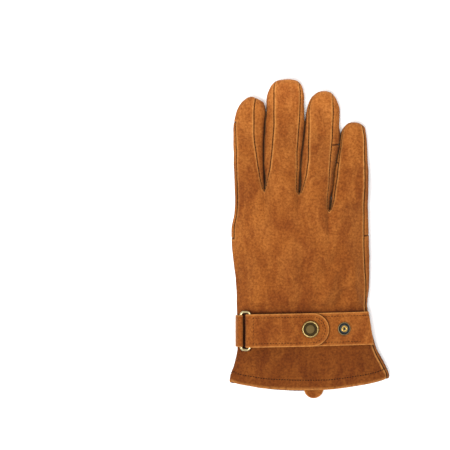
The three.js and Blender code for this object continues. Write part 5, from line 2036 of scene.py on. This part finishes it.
@dataclass
class StrapRing:
    """An oval ring of pale brass wire, held by the keeper, that the strap runs through."""

    shop: Workshop
    strap: WristStrap
    metal: Material
    centre_x: float = RING_X
    centre_y: float = -73.5
    width: float = 11.4
    length: float = 32.2
    wire: float = 2.0
    squareness: float = 4.0
    tarnish: float = 0.25
    steps: int = 150
    sides: int = 16

    @property
    def reach(self) -> float:
        """From the ring's middle to the middle of the wire of a long bar."""
        return (self.width - self.wire) / 2

    @property
    def tilt(self) -> float:
        """How the ring leans with the back of the wrist."""
        high, low = (HAND.top(self.centre_x + side * self.width / 2, self.centre_y) for side in (1, -1))
        return math.atan2(high - low, self.width)

    @property
    def centre(self) -> Array:
        """The ring's middle: its right bar lies on the strap's under layer.

        Returns:
            The point.
        """
        bar_x = self.centre_x + self.reach * math.cos(self.tilt)
        strap = self.strap
        strap_top = strap.back_under(bar_x, strap.width / 2) + strap.lift + strap.thickness
        bar_z = strap_top + strap.split + self.wire / 2
        return np.array([self.centre_x, self.centre_y, bar_z - self.reach * math.sin(self.tilt)])

    def left_bar(self) -> Array:
        """The middle of the bar that the keeper holds."""
        return self.centre - self.reach * np.array([math.cos(self.tilt), 0, math.sin(self.tilt)])

    def build(self) -> None:
        """Bends the wire into the ring."""
        angle = np.linspace(0, 2 * math.pi, 4001)
        half_y = (self.length - self.wire) / 2
        x = self.reach * signed_power(np.cos(angle), 2 / self.squareness)
        y = half_y * signed_power(np.sin(angle), 2 / self.squareness)
        path = point_at(np.stack([x, y], axis=-1), np.arange(self.steps) / self.steps)
        ahead = np.roll(path, -1, axis=0) - np.roll(path, 1, axis=0)
        ahead /= np.linalg.norm(ahead, axis=1, keepdims=True)
        out = np.stack([ahead[:, 1], -ahead[:, 0]], axis=-1)
        turn = np.arange(self.sides) / self.sides * 2 * math.pi
        flat = path[:, None, :] + out[:, None, :] * (self.wire / 2 * np.cos(turn))[None, :, None]
        points = stack(flat[..., 0], flat[..., 1], self.wire / 2 * np.sin(turn)[None, :])
        points = (tilted(points, self.tilt) + self.centre).reshape(-1, 3)
        ids = np.arange(self.steps * self.sides).reshape(self.steps, self.sides)
        next_step, next_side = np.roll(ids, -1, axis=0), np.roll(ids, -1, axis=1)
        quads = np.stack([ids, next_step, np.roll(next_step, -1, axis=1), next_side], axis=-1).reshape(-1, 4)
        patina = self.tarnish + RING_TARNISH.rise(points)
        piece = self.shop.mesh_object("strap_ring_brass", points, quads.tolist(), {"patina": patina})
        self.shop.finish(piece, self.metal, "brass", "strap_ring")


@dataclass
class StrapKeeper:
    """A short band that runs from under the index side over the ring's left bar and back in."""

    shop: Workshop
    strap: WristStrap
    ring: StrapRing
    leather: Material
    width: float = 25.2
    thickness: float = 1.0
    top_right_x: float = -52.6
    outside_gap: float = 0.52
    edge_rounding: float = 0.5
    inside_angles: Row = (-32.0, -20.0, -8.0, 4.0)
    over_bar_angles: Row = (160.0, 120.0, 80.0, 40.0, 0.0)
    steps: int = 9
    columns: int = 28

    def build(self) -> None:
        """Bends the band round the glove's edge and over the ring's bar."""
        over = self.ring.wire / 2 + self.outside_gap + self.thickness / 2
        bar = self.ring.left_bar()
        path = [self._outside(math.radians(degrees)) for degrees in self.inside_angles]
        for degrees in self.over_bar_angles:
            angle = math.radians(degrees)
            path.append((bar[0] + over * math.cos(angle), bar[2] + over * math.sin(angle)))
        path[-1] = (self.top_right_x - self.thickness / 2, path[-1][1])
        x, z = smooth_line(path, False, self.steps).T
        length, facing = path_frame(x, z)
        half = self.width / 2
        across = crowded(self.columns) * 2 - 1
        middle = stack(x[:, None], self.strap.y_at(x)[:, None] + across * half, z[:, None])
        to_ends = np.minimum(length, length[-1] - length)
        to_edge = np.minimum((1 - np.abs(across)) * half, to_ends[:, None])
        facing = facing[:, None, :]
        points, faces, marks = sheet_mesh(middle, facing, to_edge, self.thickness, self.edge_rounding)
        piece = self.shop.mesh_object("strap_keeper_suede", points, faces, marks)
        self.shop.finish(piece, self.leather, "suede", "strap_keeper")

    def _outside(self, angle: float) -> tuple[float, float]:
        """A point round the outside of the glove's index edge, as x and z.

        Args:
            angle: its angle above the middle of the edge.

        Returns:
            The point.
        """
        y = self.ring.centre_y
        edge = HAND.section(y)
        lift = self.outside_gap + self.thickness / 2
        out = signed_power(math.cos(angle), 2 / HAND_SQUARENESS)
        rise = signed_power(math.sin(angle), 2 / HAND_SQUARENESS)
        z = HAND.edge("z_left", y) + (edge.thickness + lift) * rise
        return float(edge.centre - (edge.half + lift) * out), float(z)


def turned(profile: Sequence[Row], segments: int, steps: int) -> tuple[Array, list[list[int]], Array]:
    """Turns a profile round its axis into a closed body.

    Args:
        profile: rows of radius, height and patina, from the middle of the foot to the middle of the top.
        segments: how many facets go round.
        steps: how many rings each stretch of the profile gets.

    Returns:
        The points about the foot, the faces and the patina at each point.
    """
    outline = smooth_line([row[:2] for row in profile], False, steps)
    at = np.linspace(0, len(profile) - 1, len(outline))
    patina = np.interp(at, np.arange(len(profile)), [row[2] for row in profile])
    inner = outline[1:-1]
    angle = np.arange(segments) / segments * 2 * math.pi
    radius = np.maximum(0.02, inner[:, 0, None])
    rings = stack(radius * np.cos(angle), radius * np.sin(angle), inner[:, 1, None])
    points = np.concatenate([rings.reshape(-1, 3), [[0, 0, outline[0, 1]], [0, 0, outline[-1, 1]]]])
    ids = np.arange(rings.shape[0] * segments).reshape(-1, segments)
    ahead = np.roll(ids, -1, axis=1)
    quads = np.stack([ids[:-1], ahead[:-1], ahead[1:], ids[1:]], axis=-1).reshape(-1, 4).tolist()
    foot, top = ids.size, ids.size + 1
    fans = [[foot, b, a] for a, b in zip(ids[0], ahead[0])]
    fans += [[top, a, b] for a, b in zip(ids[-1], ahead[-1])]
    marks = np.concatenate([np.repeat(patina[1:-1], segments), [patina[0], patina[-1]]])
    return points, quads + fans, marks


CAP_PROFILE = [
    (0.0, 0.0, 0.6), (5.5, 0.0, 0.6), (6.6, 0.35, 0.5), (6.9, 0.9, 0.3), (6.88, 1.5, 0.1),
    (6.6, 2.15, 0.0), (6.2, 2.52, 0.0), (5.8, 2.56, 0.0), (5.5, 2.36, 0.3), (5.3, 2.05, 0.95),
    (5.0, 1.95, 1.0), (3.9, 1.95, 1.0), (3.7, 2.05, 0.95), (3.5, 2.28, 0.88), (3.1, 2.38, 0.82),
    (1.6, 2.44, 0.8), (0.0, 2.46, 0.8),
]
STUD_PROFILE = [
    (0.0, 0.0, 0.6), (4.6, 0.0, 0.6), (5.1, 0.2, 0.4), (5.3, 0.7, 0.1), (5.2, 1.25, 0.7), (4.85, 1.56, 0.7),
    (4.5, 1.5, 0.85), (4.2, 1.1, 1.0), (3.9, 0.72, 1.0), (3.2, 0.6, 1.0), (2.6, 0.65, 0.9), (2.42, 0.9, 0.4),
    (2.4, 1.7, 0.1), (2.6, 2.3, 0.0), (2.66, 2.6, 0.0), (2.45, 2.92, 0.0), (1.9, 3.0, 0.0), (1.2, 2.96, 0.0),
    (0.95, 2.8, 0.5), (0.85, 2.3, 1.0), (0.6, 2.05, 1.0), (0.0, 2.0, 1.0),
]


@dataclass
class Snap:
    """The closed snap's cap on the tongue, and the bare stud beyond the tongue on the under layer."""

    shop: Workshop
    strap: WristStrap
    cap_metal: Material
    stud_metal: Material
    cap_place: tuple[float, float] = (0.7, -71.8)
    stud_place: tuple[float, float] = (27.4, -71.6)
    segments: int = 72
    steps: int = 3

    def build(self) -> None:
        """Turns both pieces and sets them on the strap."""
        on_tongue, under = self.strap.tongue_height, self.strap.lower_height
        for node, profile, place, height, metal, slot in (
            ("snap_cap", CAP_PROFILE, self.cap_place, on_tongue, self.cap_metal, "antique_brass"),
            ("snap_stud", STUD_PROFILE, self.stud_place, under, self.stud_metal, "dark_brass"),
        ):
            points, faces, patina = turned(profile, self.segments, self.steps)
            points = self.strap.seat(points, *place, height)
            piece = self.shop.mesh_object(node + "_metal", points, faces, {"patina": patina})
            self.shop.finish(piece, metal, slot, node)


@dataclass
class PullTab:
    """A tongue of leather with a round end, sewn inside the palm side of the cuff."""

    shop: Workshop
    leather: Material
    thickness: float = 1.4
    edge_rounding: float = 0.6
    lightness: float = 0.95
    step: float = 0.8
    columns: int = 20

    def build(self) -> None:
        """Cuts the tab and rounds its edges."""
        half = TAB_HALF_WIDTH
        round_y = TAB_TIP_Y + half
        straight = np.arange(TAB_ROOT_Y, round_y, -self.step)
        y = np.concatenate([straight, round_y - half * np.sin(END_ANGLES)])
        halves = np.concatenate([np.full(len(straight), half), half * np.cos(END_ANGLES)])
        across = crowded(self.columns) * 2 - 1
        x = TAB_X + across * halves[:, None]
        middle = stack(x, y[:, None], TAB_HEIGHT + self.thickness / 2)
        up = np.array([0.0, 0.0, 1.0])
        out = half - np.hypot(x - TAB_X, np.maximum(0, round_y - y)[:, None])
        to_edge = np.maximum(0, np.minimum(out, (TAB_ROOT_Y - y)[:, None]))
        sizes = self.thickness, self.edge_rounding
        points, faces, marks = sheet_mesh(middle, up, to_edge, *sizes, lightness=self.lightness)
        piece = self.shop.mesh_object("pull_tab_suede", points, faces, marks)
        self.shop.finish(piece, self.leather, "suede", "pull_tab")


@dataclass
class Seams:
    """The rows of stitches beside the glove's seams, round its hem and over its gathers."""

    shop: Workshop
    net: Net
    stitches: StitchTree
    sunk: float = 0.35
    sizes: Row = (2.4, 1.5, 0.5)
    hem_sizes: Row = (2.1, 1.5, 0.75)
    elastic_y: float = -74.4
    elastic_half_height: float = 3.2
    elastic_period: float = 8.0
    elastic_span: tuple[float, float] = (-50.0, 42.0)

    def __post_init__(self) -> None:
        """Works out the outward directions, against which the stitches are sunk."""
        self.normals = self.net.normals()

    def build(self) -> None:
        """Sews every row of stitches."""
        self._sew("back_stitches", self._seams("back"))
        self._sew("palm_stitches", self._seams("palm") + self._palm_patches())
        self.stitches.sew(self.shop, "hem_stitches", [self._hem()], self.hem_sizes)
        self._sew("elastic_stitches", [self._elastic()])

    def _sew(self, name: str, lines: list[Array]) -> None:
        """Sews one set of lines."""
        self.stitches.sew(self.shop, name, lines, self.sizes)

    def _beside(self, ids: Array, sunk: float) -> Array:
        """Points of the leather, sunk into it but off the floor.

        Args:
            ids: the net's points.
            sunk: how far they are sunk.

        Returns:
            The points.
        """
        points = self.net.points[ids] - self.normals[ids] * sunk
        points[..., 2] = np.maximum(points[..., 2], self.hem_sizes[-1] / 2)
        return points

    def _seams(self, side: str) -> list[Array]:
        """Rows down in the seams of one side of the glove, each from a fingertip down.

        Args:
            side: back or palm.

        Returns:
            The rows.
        """
        lines = []
        for f in range(4):
            for column in (0, -1):
                ids = self.net.grids[f"{side}_{f}"][3:, column]
                if (f, column) in ((0, 0), (3, -1)):
                    ids = np.concatenate([ids, self.net.grids[side][1:-1, column]])
                lines.append(self._beside(ids, self.sunk))
        return lines

    def _palm_patches(self) -> list[Array]:
        """Rows down in the heel patch's seams and in the seam round the thumb's root.

        Returns:
            The rows.
        """
        palm = self.net.grids["palm"]
        first, column = PATCH_FIRST_ROW * FINE_HAND_ROWS, PATCH_FIRST_COLUMN * FINE_STRIP
        thumb = self.net.grids["thumb"][0]
        rows = palm[first:-1, column], palm[first, column:], thumb
        return [self._beside(ids, self.sunk) for ids in rows]

    def _hem(self) -> Array:
        """One row all round the cuff, the hem's own width above its edge.

        Returns:
            The closed row.
        """
        around = []
        for name, step in (("back", 1), ("hand_right", 1), ("palm", -1), ("hand_left", -1)):
            grid = self.net.grids[name][::-1, ::step][:14]
            points = self._beside(grid, 0.0)
            steps = np.linalg.norm(np.diff(points, axis=0), axis=-1)
            up = np.concatenate([np.zeros((1, grid.shape[1])), np.cumsum(steps, axis=0)])
            for c in range(grid.shape[1] - 1):
                at = [np.interp(HEM_ALLOWANCE, up[:, c], points[:, c, k]) for k in range(3)]
                around.append(at)
        return np.array(around + around[:1])

    def _elastic(self) -> Array:
        """A zigzag over the gathers on the palm side of the wrist.

        Returns:
            The line.
        """
        start, end = self.elastic_span
        x = np.arange(start, end, 0.5)
        share = (x / self.elastic_period) % 1
        y = self.elastic_y + self.elastic_half_height * (4 * np.abs(share - 0.5) - 1)
        tree = KDTree(self.net.grids["palm"].size)
        ids = self.net.grids["palm"].reshape(-1)
        for i, point in zip(ids, self.net.points[ids]):
            tree.insert((point[0], point[1], 0), int(i))
        tree.balance()
        made = []
        for px, py in zip(x, y):
            near = tree.find_n((px, py, 0), 4)
            weight = np.array([1 / (found[2] + 0.05) for found in near])
            height = np.average([self.net.points[found[1], 2] for found in near], weights=weight)
            made.append((px, py, max(height, self.sizes[-1] / 2)))
        return np.array(made)


@dataclass
class Studio:
    """A pale floor, soft lights and a camera that looks straight down on the glove."""

    view_x: float = -67.6
    view_y: float = 11.3
    view_height: float = 15.0
    field: float = 360.0
    distance: float = 2400.0
    sensor: float = 36.0
    floor_half: float = 4000.0
    floor_glow: float = 0.06
    floor_drop: float = 0.2
    sky_light: float = 0.5

    def build(self) -> None:
        """Sets the floor, the lights, the sky and the camera."""
        self._floor()
        self._light("key", (-420, -420, 1480), 0.9, 34.0)
        self._light("fill", (250, 1000, 1400), 1.6, 17.0)
        world = bpy.data.worlds.new("white room")
        world.use_nodes = True
        sky = world.node_tree.nodes["Background"]
        sky.inputs["Color"].default_value = (1.0, 1.0, 1.0, 1.0)
        sky.inputs["Strength"].default_value = self.sky_light
        scene = bpy.context.scene
        scene.world = world
        scene.view_settings.view_transform = "Standard"
        self._camera()

    def _floor(self) -> None:
        """Lays the floor just under the glove."""
        h, z = self.floor_half * MM, -self.floor_drop * MM
        mesh = bpy.data.meshes.new("floor")
        mesh.from_pydata([(-h, -h, z), (h, -h, z), (h, h, z), (-h, h, z)], [], [(0, 1, 2, 3)])
        sheet = NodeSheet("white paper")
        sheet.put("Base Color", (0.93, 0.93, 0.93))
        sheet.put("Roughness", 0.9)
        sheet.put("Emission Color", (1.0, 1.0, 1.0))
        sheet.put("Emission Strength", self.floor_glow)
        mesh.materials.append(sheet.material)
        stand("floor", mesh)

    def _light(self, name: str, place: Row, size: float, power: float) -> None:
        """Hangs a square soft light that faces the glove.

        Args:
            name: its name.
            place: where it hangs.
            size: its side in metres.
            power: its power in watts.
        """
        lamp = bpy.data.lights.new(name, "AREA")
        lamp.size = size
        lamp.energy = power
        light = stand(name, lamp)
        light.location = Vector(place) * MM
        light.rotation_euler = (-light.location).to_track_quat("-Z", "Y").to_euler()

    def _camera(self) -> None:
        """Hangs the camera, whose field spans the whole picture."""
        data = bpy.data.cameras.new("camera")
        data.sensor_width = self.sensor
        data.sensor_fit = "HORIZONTAL"
        data.lens = self.sensor * self.distance / self.field
        camera = stand("camera", data)
        camera.location = Vector((self.view_x, self.view_y, self.view_height + self.distance)) * MM
        bpy.context.scene.camera = camera


def main() -> None:
    """Builds and dresses the glove, piece by piece."""
    logging.basicConfig(level=logging.INFO, format="%(message)s")
    shop = Workshop()
    suede, palm_suede = SUEDE.material(), PALM_SUEDE.material()
    stitches = StitchTree(THREAD.material())
    net = Pattern().build()
    Softness().apply(net)
    log.info("net: %d points, %d faces", len(net.points), len(net.faces))
    Leather(shop, net, suede, palm_suede).build()
    Seams(shop, net, stitches).build()
    strap = WristStrap(shop, suede, stitches)
    strap.build()
    ring = StrapRing(shop, strap, PALE_BRASS.material())
    ring.build()
    StrapKeeper(shop, strap, ring, suede).build()
    Snap(shop, strap, ANTIQUE_BRASS.material(), DARK_BRASS.material()).build()
    PullTab(shop, suede).build()
    Studio().build()


if __name__ == "__main__":
    main()
